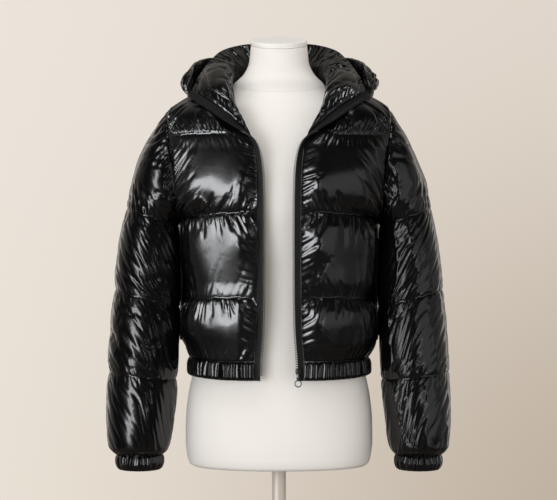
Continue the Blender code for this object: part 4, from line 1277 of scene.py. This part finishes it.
# The collar. It is a single padded band, sewn round the neckline and then left open, so its
# two ends fold over on the chest like lapels. Its inner side, which shows, carries the down.
COLLAR_ROWS, COLLAR_COLUMNS = 57, 241
COLLAR_PUFF, COLLAR_SWELL, COLLAR_SWELL_SIZE = 0.026, 0.09, 0.06
COLLAR_END_FOLDS = (0.010, (0.02, 0.06), 0.4)           # spacing, reach and depth
COLLAR_CREST = (
    # column, x, y, z, bow (mm)
    (0, 146.0, -60, 1440, 17),
    (1, 144.0, -50, 1448, 13),
    (2, 139.5, -37, 1460, 8),
    (3, 133.0, -22, 1472, 3),
    (4, 125.0, -6, 1487, 0),
    (5, 115.0, 11, 1501, 0),
    (6, 100.5, 33, 1516, 0),
    (7, 82.0, 58, 1526, 0),
    (8, 58.0, 80, 1533, 0),
    (9, 30.0, 92, 1536, 0),
    (10, 0.0, 96, 1536, 0),
)
COLLAR_SEAT = (
    # column, distance from the neck seam in mm
    (0, 3.8),
    (2, 3.3),
    (5, 1.8),
    (10, 1.3),
)
COLLAR_SECTION = (
    # share up the collar, share of the padding's height
    (0.0, 0.10),
    (0.1, 0.55),
    (0.25, 0.90),
    (0.42, 1.00),
    (0.60, 0.88),
    (0.78, 0.60),
    (0.93, 0.22),
    (1.0, 0.06),
)
COLLAR_FULLNESS = (
    # column, share of the padding's height
    (0, 0.10),
    (0.5, 0.45),
    (1.5, 0.85),
    (3.5, 1.10),
    (5, 1.05),
    (7, 0.80),
    (10, 0.70),
)
COLLAR_SEAMS = (
    # the same columns as the body's seams
    (0, 0.0075, 0.012, 0.034, 0.60, 0.3, 0.0),
    (0, 0.0150, 0.030, 0.070, 0.30, 0.9, 0.0),
    (COLLAR_ROWS - 1, 0.0080, 0.010, 0.034, 0.50, 0.4, 0.0),
    (COLLAR_ROWS - 1, 0.0150, 0.030, 0.070, 0.30, 0.9, 0.0),
)
collar_shares = np.linspace(0, 1, COLLAR_ROWS)


def collar_half(side):
    """The collar's lining surface from its front end to the centre back, and its fullness."""
    front = fronts["right" if side < 0 else "left"][0][3 * CHANNEL_ROWS:, 0]
    front_at = np.interp(np.linspace(3, 4, len(front)), (3, 3.12, 3.35, 3.65, 3.88, 4), range(6))
    share = np.linspace(-1, 1, back_base.shape[1])
    rear = np.flatnonzero((share * side >= 0) & (np.abs(share) <= 0.4))
    rear = rear[np.argsort(-np.abs(share[rear]))]
    places = np.concatenate([front_at, 10 - 10 * np.abs(share[rear])])
    line = np.concatenate([front, back_base[-1, rear]])
    columns = np.linspace(0, 10, COLLAR_COLUMNS)
    seam = read_along(line, places, columns)
    crest = read_rows(COLLAR_CREST, columns) / 1000
    forward = ramp(1 - columns / 3)[:, None]
    off_seam = np.array((0, -0.8, 0.2)) * forward + np.array((0, 0, 1)) * (1 - forward)
    root = seam + off_seam * read_rows(COLLAR_SEAT, columns) / 1000
    share = collar_shares[:, None, None]
    grid = root * (1 - share) + crest[:, :3] * (side, 1, 1) * share
    bow = crest[:, 3] * np.sin(math.pi * collar_shares)[:, None]
    full = read_rows(COLLAR_FULLNESS, columns)[:, 0]
    return grid + np.array((0, -1, 0.2)) * bow[..., None], full


def sewn_round(shape):
    """What is held while the cloth settles: all four edges, the free one a little less."""
    sewn = np.zeros(shape)
    sewn[0], sewn[-1], sewn[:, 0], sewn[:, -1] = 1, 0.9, 1, 1
    return sewn


def end_pinches(folds, grid, most, *fold):
    """The same folds with more beside the first and last columns."""
    up, across = lengths(grid, 0), lengths(grid, 1)
    for away in (across, across[:, -1:] - across):
        folds = np.minimum(folds + pinches(up, away, *fold), most)
    return folds


right_half, right_full = collar_half(-1)
left_half, left_full = collar_half(1)
collar_base = np.concatenate([right_half, left_half[:, -2::-1]], axis=1)
collar_full = np.concatenate([right_full, left_full[-2::-1]])
collar_lining = grid_normals(collar_base, lambda grid: np.array((0, -0.05, 1.50)) - grid)
collar_shell = collar_base - collar_lining * WALL
height = COLLAR_PUFF * read_rows(COLLAR_SECTION, collar_shares) * collar_full
height = height * (1 + COLLAR_SWELL * lumps(collar_base, 21, COLLAR_SWELL_SIZE))
folds = seam_pinches(collar_base, COLLAR_SEAMS, 22, 0.0)
folds = end_pinches(folds, collar_base, 0.8, 25, *COLLAR_END_FOLDS)
start = collar_base + collar_lining * (height * 0.92)[..., None]
sewn = sewn_round(height.shape)
moved = settle("cloth_collar", start, sewn, pressure=2.0, ease=0.012, reach=0.0015)
outer = collar_base + collar_lining * (height * (1 - folds))[..., None] + moved
collar = panel("collar_shell", outer, collar_shell, nylon)
light_reach("lobe_box", collar, "INCLUDE")
fasten(collar, "collar")

# The hood, down. A centre strip and two sides of the same padded nylon, sewn to the collar
# and hanging open behind it as a deep bag, so its rim stands up round the shoulders.
HOOD_ROWS, SIDE_COLUMNS, HALF_CENTRE_COLUMNS = 97, 152, 48
HOOD_PUFF, HOOD_SPLIT = 0.011, 7.6
HOOD_OFF_COLLAR = 5 * GAP
HOOD_SIDE_FOLDS = (0.0085, (0.015, 0.050), 0.75)        # spacing, reach and depth
HOOD_SLANTED = (0.017, 0.045, 0.32, 0.5)                # spacing, length, depth and slant
RIM_ROLL = 0.009
HOOD = (
    # column, root, then x, y, z of the near, lowest, outermost and rim points (mm)
    (0, 0.88, 143, -57, 1431, 151, -50, 1433, 156, -44, 1445, 151, -45, 1459),
    (2, 0.50, 122, -49, 1436, 148, -36, 1433, 157, -28, 1450, 149, -22, 1476),
    (4, 0.38, 116, -6, 1461, 150, 4, 1442, 157, 12, 1457, 150, 18, 1489),
    (5, 0.34, 112, 24, 1464, 147, 38, 1438, 156, 42, 1452, 147, 46, 1497),
    (6, 0.34, 104, 62, 1461, 130, 94, 1420, 152, 90, 1438, 134, 80, 1507),
    (7, 0.34, 90, 98, 1450, 110, 146, 1356, 139, 142, 1392, 119, 112, 1513),
    (8, 0.34, 64, 124, 1438, 78, 162, 1310, 106, 186, 1358, 90, 146, 1515),
    (10, 0.34, 0, 138, 1430, 0, 164, 1284, 0, 212, 1338, 0, 178, 1511),
)
HOOD_SECTION = (
    # share from the collar to the rim, share of the padding's height
    (0.0, 0.0),
    (0.08, 0.15),
    (0.17, 0.12),
    (0.28, 0.05),
    (0.40, 0.02),
    (0.50, 0.05),
    (0.60, 0.65),
    (0.70, 1.0),
    (0.80, 1.0),
    (0.91, 0.7),
    (1.0, 0.15),
)
HOOD_HALF = (
    # column, share of the padding's height
    (0.0, 0.1),
    (0.7, 0.5),
    (1.4, 0.7),
    (2.2, 0.8),
    (3.0, 0.9),
    (3.8, 1.0),
    (6.2, 0.9),
    (7.0, 0.7),
    (HOOD_SPLIT, 0.0),
    (8.2, 0.7),
    (8.8, 1.0),
    (10.0, 1.0),
)
HOOD_SEAMS = (
    # the same columns as the body's seams
    (0, 0.0090, 0.010, 0.030, 0.50, 0.3, 0.0),
    (HOOD_ROWS - 1, 0.0075, 0.012, 0.042, 0.75, 0.3, 0.0),
    (HOOD_ROWS - 1, 0.0150, 0.035, 0.095, 0.55, 0.7, 0.0),
)
hood_shares = np.linspace(0, 1, HOOD_ROWS)


def collar_at(side, column, share):
    """A point just off the collar's outer side, with the direction away from it."""
    whole = column / 10 * (COLLAR_COLUMNS - 1)
    if side > 0:
        whole = collar_base.shape[1] - 1 - whole
    low = min(int(whole), collar_base.shape[1] - 2)
    part = whole - low

    def mix(grid):
        """The grid's value at this share, between its two columns."""
        line = grid[:, low] * (1 - part) + grid[:, low + 1] * part
        return np.array([np.interp(share, collar_shares, values) for values in line.T])

    away = -mix(collar_lining)
    return mix(collar_shell) + away * HOOD_OFF_COLLAR, away


def hood_line(side, column):
    """The hood's lining from the seam on the collar to the rim, and the way off the collar."""
    share, *rest = read_rows(HOOD, column)
    root, away = collar_at(side, column, share)
    turns = [np.array(rest[i:i + 3]) / 1000 * (side, 1, 1) for i in (0, 3, 6, 9)]
    rows = [(i / 4, *point) for i, point in enumerate((root, *turns))]
    return read_rows(rows, hood_shares), away


side_columns = np.linspace(0, HOOD_SPLIT, SIDE_COLUMNS + 1)
centre_columns = np.linspace(HOOD_SPLIT, 10, HALF_CENTRE_COLUMNS + 1)[1:]
half_columns = np.concatenate([side_columns, centre_columns])
hood_columns = [(-1, c) for c in half_columns] + [(1, c) for c in half_columns[-2::-1]]
hood_lines = [hood_line(side, column) for side, column in hood_columns]
hood_base = np.array([line for line, _ in hood_lines]).transpose(1, 0, 2)
hood_away = np.array([away for _, away in hood_lines])
hood_out = grid_normals(hood_base, lambda grid: grid - (grid[:1] + grid[-1:]) / 2)
# The sewn edge's thickness lies along the collar.
hood_out[0] -= (hood_out[0] * hood_away).sum(axis=1, keepdims=True) * hood_away
hood_out[0] = unit(hood_out[0])
hood_full = read_rows(HOOD_HALF, [column for _, column in hood_columns])[:, 0]
hood_height = HOOD_PUFF * read_rows(HOOD_SECTION, hood_shares) * hood_full
hood_along = unit(np.gradient(hood_base, axis=1))
hood_end = len(hood_columns) - 1
for name, first, last, seed in (
    ("hood_right_side", 0, SIDE_COLUMNS, 31),
    ("hood_centre", SIDE_COLUMNS, hood_end - SIDE_COLUMNS, 32),
    ("hood_left_side", hood_end - SIDE_COLUMNS, hood_end, 33),
):
    base = hood_base[:, first:last + 1].copy()
    if first > 0:
        base[:, 0] += hood_along[:, first] * GAP / 2
    if last < hood_end:
        base[:, -1] -= hood_along[:, last] * GAP / 2
    normal = hood_out[:, first:last + 1]
    uneven = 0.05 + 0.15 * ramp((hood_shares[:, None] - 0.5) / 0.15)
    height = hood_height[:, first:last + 1] * (1 + uneven * lumps(base, seed, 0.055))
    start = base + normal * (height * 0.95)[..., None]
    sewn = sewn_round(height.shape)
    moved = settle(f"cloth_{name}", start, sewn, pressure=1.5, ease=0.02, reach=0.0025)
    folds = seam_pinches(base, HOOD_SEAMS, seed, 0.3)
    folds += slanted_folds(base, seed, *HOOD_SLANTED)
    folds = end_pinches(folds, base, MOST_TAKEN, seed + 60, *HOOD_SIDE_FOLDS)
    outer = base + normal * (height * (1 - folds))[..., None]
    outer += moved * (1 - 0.5 * folds)[..., None]
    # The rim's roll is padded on both sides.
    rolled = RIM_ROLL * ramp((hood_shares[:, None] - 0.5) / 0.3) * height / HOOD_PUFF
    inner = base - normal * (WALL + rolled * (1 - 0.6 * folds))[..., None]
    piece = panel(f"{name}_shell", outer, inner, nylon)
    fasten(piece, name)

# The zip. Woven tapes are sewn behind the edges of the fronts, from the hem to the top of
# the turned-out collar, with a double row of stitches. Black teeth are moulded on their edges.
TAPE_WIDTH, TAPE_THICK, TAPE_IN_SEAM = 0.0104, 0.0013, 0.0015
TAPE_ROWS = 321
OUT_OF_HEM, BEHIND_FRONT, BEHIND_COLLAR = 0.0008, 0.0005, 0.0003
CORD_RADIUS, CORD_AT, CORD_REACH = 0.0005, 0.93, 0.07   # its place in shares of the tape's width
TAPE_TURN = (
    # run, x, y, z of the way across, distance from the edge in mm
    (-1.0, -1.0, -0.15, 0.0, 0.25),
    (2.30, -1.0, -0.20, 0.0, 0.25),
    (2.75, -0.80, -0.60, 0.0, 0.8),
    (3.00, -0.25, -1.0, -0.10, 2.6),
    (3.15, 0.25, -0.80, -0.45, 2.5),
    (3.50, 0.52, -0.40, -0.72, 0.8),
    (4.00, 0.62, -0.25, -0.72, 0.6),
)


def plain_material(name, colour, roughness, level=0.5, metallic=0.0):
    """A plain, slightly handled finish, with its specular level."""
    made, tree, shader = new_material(name)
    darker = [c * 0.7 for c in colour]
    marks = place_group(
        tree, mottle, Clean=(*colour, 1), Marked=(*darker, 1), Size=160.0, Amount=0.5
    )
    wire(tree, (marks, "Color", shader, "Base Color"))
    shader.inputs["Roughness"].default_value = roughness
    shader.inputs["Specular IOR Level"].default_value = level
    shader.inputs["Metallic"].default_value = metallic
    return made, tree, shader


tape_weave, tree, shader = plain_material(
    "zip_tape_weave", (0.006, 0.006, 0.0065), roughness=0.7, level=0.2
)
threads = place_group(tree, weave, Threads_per_metre=1900.0, Unevenness=0.4)
bump = add(tree, "ShaderNodeBump", Strength=0.6, Distance=0.00025)
wire(tree, (threads, "Height", bump, "Height"), (bump, "Normal", shader, "Normal"))
teeth_plastic = plain_material(
    "teeth_plastic", (0.012, 0.012, 0.013), roughness=0.38, level=0.35
)[0]
thread_black = plain_material("black_thread", (0.008, 0.008, 0.009), roughness=0.6, level=0.25)[0]


def tape_rows(side):
    """The edge that a tape is sewn to, as runs from the hem's bottom to the collar's corner."""
    base, normal, _ = fronts["right" if side < 0 else "left"]
    end = 0 if side < 0 else -1
    shares = np.array((1.0, 0.75, 0.5, 0.25, 0.1))
    hem_part = hem_rows(shares)[:, end] + hem_out[end] * OUT_OF_HEM
    rows = slice(0, 3 * CHANNEL_ROWS + 1, 4)
    front_part = (base[:, 0] - normal[:, 0] * BEHIND_FRONT)[rows]
    collar_part = (collar_base[:, end] - collar_lining[:, end] * BEHIND_COLLAR)[7::7]
    runs = np.concatenate([
        -shares, channel_levels(0, 3)[::4], 3 + collar_shares[7::7],
    ])
    return runs, np.concatenate([hem_part, front_part, collar_part])


def calmed(grid, times):
    """Rows drawn towards their neighbours, the first and last held."""
    for _ in range(times):
        grid = grid.copy()
        grid[1:-1] = (grid[:-2] + 2 * grid[1:-1] + grid[2:]) / 4
    return grid


def tape_grid(side, shares):
    """A tape's middle surface at these shares of its width, and the way out of its face."""
    runs, edge = tape_rows(side)
    turn = read_rows(TAPE_TURN, runs)
    across = unit(turn[:, :3] * (side, 1, 1))
    place = turn[:, 3:] / 1000 + TAPE_WIDTH * np.asarray(shares)[None]
    middle = calmed(edge[:, None] + across[:, None] * place[..., None], 3)
    # More rows, evenly along the tape.
    places = run_lengths(middle[:, -1])
    wanted = np.linspace(0, places[-1], TAPE_ROWS)
    flat = read_along(middle.reshape(len(middle), -1), places, wanted)
    middle = calmed(flat.reshape(TAPE_ROWS, *middle.shape[1:]), 4)
    face = unit(np.cross(np.gradient(middle, axis=0), np.gradient(middle, axis=1)))
    return middle, -face if face[40, 1, 1] > 0 else face


def copies(name, template, faces, centres, across, along, out, material):
    """One mesh of many copies of a small shape, each turned to its own three directions."""
    turned_to = np.stack([across, along, out], axis=1)
    points = centres[:, None] + np.einsum("vi,nij->nvj", template, turned_to)
    count = len(template)
    every = [tuple(i + n * count for i in face) for n in range(len(centres)) for face in faces]
    return add_piece(name, points.reshape(-1, 3), every, material)


def soft_box_shape(size, bevel, segments):
    """The points and faces of a box with rounded edges."""
    shape = bmesh.new()
    bmesh.ops.create_cube(shape, size=1)
    for vertex in shape.verts:
        vertex.co = [vertex.co[i] * size[i] for i in range(3)]
    bmesh.ops.bevel(
        shape, geom=shape.edges[:], offset=bevel, segments=segments, affect="EDGES", profile=0.5
    )
    shape.verts.index_update()
    points = np.array([vertex.co[:] for vertex in shape.verts])
    faces = [[vertex.index for vertex in face.verts] for face in shape.faces]
    shape.free()
    return points, faces


def join_shapes(shapes):
    """Several shapes' points and faces as one."""
    points, faces, first = [], [], 0
    for some, few in shapes:
        points.append(some)
        faces += [[first + i for i in face] for face in few]
        first += len(some)
    return np.concatenate(points), faces


STITCH_PITCH, STITCH_LONG, STITCH_THICK = 0.0031, 0.0023, 0.0004


def stitches(path, out):
    """Each stitch of a row along a path: its centre and the ways across, along and out."""
    places = run_lengths(path)
    at = np.arange(STITCH_PITCH / 2, places[-1], STITCH_PITCH)
    centres = read_along(path, places, at)
    up = unit(read_along(out, places, at))
    along = unit(np.gradient(centres, axis=0))
    return centres, np.cross(along, up), along, up


def stitch_rows(name, rows, node):
    """All the rows of stitches of one piece as one mesh, just off its surface."""
    template = np.array([
        (x * STITCH_THICK / 2, y * STITCH_LONG / 2, z * STITCH_THICK)
        for y in (-1, -0.5, 0.5, 1)
        for x, z in ((-1, 0), (0, 0.55 if abs(y) < 1 else 0), (1, 0), (0, -0.5))
    ])
    faces = ring_faces(4, 4) + [(3, 2, 1, 0), (12, 13, 14, 15)]
    parts = [np.concatenate(part) for part in zip(*(stitches(*row) for row in rows))]
    fasten(copies(name, template, faces, *parts, thread_black), node, stands_for_it=False)


# A tooth is a block through the tape and a head that meshes with the other tape's teeth.
TOOTH_PITCH, TOOTH_IN = 0.0039, 0.0003
FIRST_TOOTH = {"right": 0.010, "left": 0.016}       # the end stop takes up the left tape's foot
AFTER_LAST = 0.002
HEAD_OUT = (0.0028, 0, 0)
block = soft_box_shape((0.0036, 0.0016, 0.0026), bevel=0.0003, segments=1)
head, head_faces = soft_box_shape((0.0022, 0.0019, 0.0021), bevel=0.0004, segments=1)
tooth = join_shapes([block, (head + HEAD_OUT, head_faces)])
for word, side in (("right", -1), ("left", 1)):
    shares = np.linspace(0, 1, 9)
    middle, face = tape_grid(side, shares)
    cord = CORD_RADIUS * np.exp(-(((shares - CORD_AT) / CORD_REACH) ** 2))
    thick = (TAPE_THICK * 0.38 + cord)[None, :, None]
    tape = panel(
        f"{word}_tape_cloth", middle + face * thick, middle - face * thick, tape_weave
    )
    node = f"{word}_zip_tape"
    fasten(tape, node)

    edge = middle[:, -1]
    places = run_lengths(edge)
    at = np.arange(FIRST_TOOTH[word], places[-1] - AFTER_LAST, TOOTH_PITCH)
    along = unit(read_along(np.gradient(edge, axis=0), places, at))
    out = unit(read_along(face[:, -1], places, at))
    across = unit(np.cross(along, out))
    inwards = read_along(middle[:, -1] - middle[:, -3], places, at)
    across *= np.sign((across * inwards).sum(axis=1, keepdims=True))
    centres = read_along(edge, places, at) - across * TOOTH_IN
    teeth = copies(f"{word}_teeth", *tooth, centres, across, along, out, teeth_plastic)
    fasten(teeth, node, stands_for_it=False)
    rows = [
        (middle[:, c] + face[:, c] * (thick[0, c, 0] + 0.0001), face[:, c]) for c in (1, 3)
    ]
    stitch_rows(f"{word}_tape_stitches", rows, node)

# The quilting. Each seam is one row of black lock stitches, sewn by machine through shell,
# down and lining. Its thread lies in the groove between two channels.
THREAD_LIFT = 0.0003


def quilting(name, base, normal, sleeve):
    """The three rows of stitches across one panel."""
    rows = []
    for row in (CHANNEL_ROWS, 2 * CHANNEL_ROWS, 3 * CHANNEL_ROWS):
        line, out = base[row], normal[row]
        if sleeve:
            line, out = np.concatenate([line, line[:1]]), np.concatenate([out, out[:1]])
        rows.append((resting(line + out * THREAD_LIFT, sleeve), out))
    stitch_rows(f"{name}_stitches", rows, name)


for word, (base, normal, _) in fronts.items():
    quilting(f"{word}_front", base, normal, False)
quilting("back", back_base, back_normal, False)
for word, (base, normal) in sleeves.items():
    quilting(f"{word}_sleeve", base, normal, True)

# The side pockets. Each mouth is closed by a narrow folded welt of the shell's nylon, laid
# upright on the front near the side seam and stitched down along both long edges.
WELT_THICK, WELT_LIFT, WELT_LEAST = 0.002, 0.0009, 0.008
WELT_CROWN, WELT_DENT, WELT_TURNINGS = 0.0011, 0.0006, 1.25
WELT_FOOT, DENT_AT, DENT_REACH = 0.35, 0.14, 0.05
welt_levels = np.linspace(*WELT_ZONE[:2], 65)
welt_shares = np.linspace(*WELT_ZONE[2:], 9)


def on_panel(word, level, share):
    """Points on a front's seam surface, with their normals and the padding's height there."""
    base, normal, height = fronts[word]
    row = level * CHANNEL_ROWS
    column = share * (FRONT_COLUMNS - 1)
    r = np.minimum(row.astype(int), base.shape[0] - 2)
    c = np.minimum(column.astype(int), FRONT_COLUMNS - 2)
    u, v = (row - r)[..., None], (column - c)[..., None]

    def mix(grid):
        """The grid's value at each place, between its four points."""
        return (
            grid[r, c] * (1 - u) * (1 - v) + grid[r + 1, c] * u * (1 - v)
            + grid[r, c + 1] * (1 - u) * v + grid[r + 1, c + 1] * u * v
        )

    return mix(base), unit(mix(normal)), mix(height[..., None])


for word in ("right", "left"):
    level, share = np.meshgrid(welt_levels, welt_shares, indexing="ij")
    point, normal, height = on_panel(word, level, share)
    least = WELT_LEAST * ramp((level - welt_levels[0]) / WELT_FOOT)[..., None]
    lift = np.maximum(height, least) + WELT_LIFT
    across = (share - welt_shares[0]) / (welt_shares[-1] - welt_shares[0])
    crown = WELT_CROWN * np.sin(math.pi * across) ** 0.6 + 0.0002 * lumps(point, 41, 0.02)
    from_edge = np.minimum(across, 1 - across)
    dent = WELT_DENT * np.exp(-(((from_edge - DENT_AT) / DENT_REACH) ** 2))
    outer = resting(point + normal * (lift + WELT_THICK * 0.6 + (crown - dent)[..., None]), False)
    welt = panel(f"{word}_welt", outer, resting(point + normal * lift, False), nylon)
    node = f"{word}_pocket_welt"
    fasten(welt, node)
    rows = [(outer[:, c] + normal[:, c] * 0.0001, normal[:, c]) for c in (1, 7)]
    stitch_rows(f"{word}_welt_stitches", rows, node)

# The slider, which is locked at the foot of the left tape above its end stop. It is cast
# zinc with a dark finish: two shield-shaped plates on a neck, and a bridge for the pull.
SLIDER_AT = np.array((0.031597, -0.129022, 0.9690))
BRIDGE_FOOT, BRIDGE_RISE, BRIDGE_HALF, BRIDGE_RADIUS = 0.0014, 0.0024, 0.0036, 0.00055
PLATE_BACK, PLATE_FRONT, NECK_HALF = 0.0006, 0.0016, 0.0007
STOP_AT, STOP_SIZE = (0.032597, -0.1288, 0.9590), (0.0075, 0.0028, 0.0050)
gunmetal = plain_material("gunmetal", (0.035, 0.035, 0.034), roughness=0.36, metallic=1.0)[0]


def shield(half_wide, narrower, half_tall, powers, head):
    """A rounded outline in x and z, which narrows towards its head (1) or its foot (-1)."""
    turns = 2 * math.pi * np.arange(32) / 32
    c, s = np.cos(turns), np.sin(turns)
    wide = half_wide - narrower * ramp(head * s)
    return np.stack([wide * squared(c, powers[0]), half_tall * squared(s, powers[1])], axis=1)


def plate(outline, low, high, bevel):
    """A flat plate with this outline in x and z, between two depths, its edges rounded."""
    points = []
    for y, scale in ((low, 1 - bevel), (low + 0.0003, 1), (high - 0.0003, 1), (high, 1 - bevel)):
        points += [(x * scale, y, z * scale) for x, z in outline]
    count = len(outline)
    faces = [list(face) for face in ring_faces(4, count)]
    faces += [list(range(count))[::-1], list(range(3 * count, 4 * count))]
    return np.array(points), faces


faceplate = shield(0.0045, 0.0012, 0.00620, (0.6, 0.7), -1)
neck = shield(0.0016, 0, 0.0022, (1, 1), 1) + (0, 0.0032)
points, faces = join_shapes([
    plate(faceplate, -PLATE_FRONT, -PLATE_BACK, 0.10),
    plate(faceplate, PLATE_BACK, PLATE_FRONT, 0.10),
    plate(neck, -NECK_HALF, NECK_HALF, 0.0),
])
slider_body = add_piece("slider_body", points + SLIDER_AT, faces, gunmetal)
face_out(slider_body)
fasten(slider_body, "zip_slider")

bridge_path = []
for turn in np.linspace(0, math.pi, 13):
    stands_out = BRIDGE_FOOT + BRIDGE_RISE * math.sin(turn) ** 0.7
    bridge_path.append(SLIDER_AT + (0, -stands_out, BRIDGE_HALF * math.cos(turn) - 0.0025))
bridge = tube("slider_bridge", bridge_path, BRIDGE_RADIUS, gunmetal, sides=10)
fasten(bridge, "zip_slider", stands_for_it=False)

points, faces = soft_box_shape(STOP_SIZE, bevel=0.0007, segments=3)
fasten(add_piece("end_stop", points + STOP_AT, faces, teeth_plastic), "zip_stop")

# The pull: a stamped metal tab with an eye round the slider's bridge, and a ring of round wire
# through its lower hole. The two swing on the bridge together.
HINGE = np.array((0.031597, -0.132022, 0.9665))
RING_BELOW, RING_RADIUS, WIRE_RADIUS = 0.0165, 0.0053, 0.0009
TAB_BELOW, TAB_HALF = 0.0052, 0.0007
dark_metal = plain_material("dark_metal", (0.07, 0.07, 0.07), roughness=0.32, metallic=1.0)[0]
turns = 2 * math.pi * np.arange(48) / 48
circle = np.stack([np.cos(turns), 0 * turns, np.sin(turns)], axis=1)
ring_path = HINGE - (0, 0, RING_BELOW) + RING_RADIUS * circle
pull_ring = tube("pull_ring", ring_path, WIRE_RADIUS, dark_metal, sides=14, closed=True)
bar = shield(0.0017, 0.0004, 0.00625, (0.5, 0.6), 1)
points, faces = plate(bar, -TAB_HALF, TAB_HALF, 0.08)
pull_tab = add_piece("pull_tab", points + HINGE - (0, 0, TAB_BELOW), faces, dark_metal)
face_out(pull_tab)
fasten(pull_ring, "zip_pull", "pull")
fasten(pull_tab, "zip_pull", "pull", stands_for_it=False)

low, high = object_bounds()
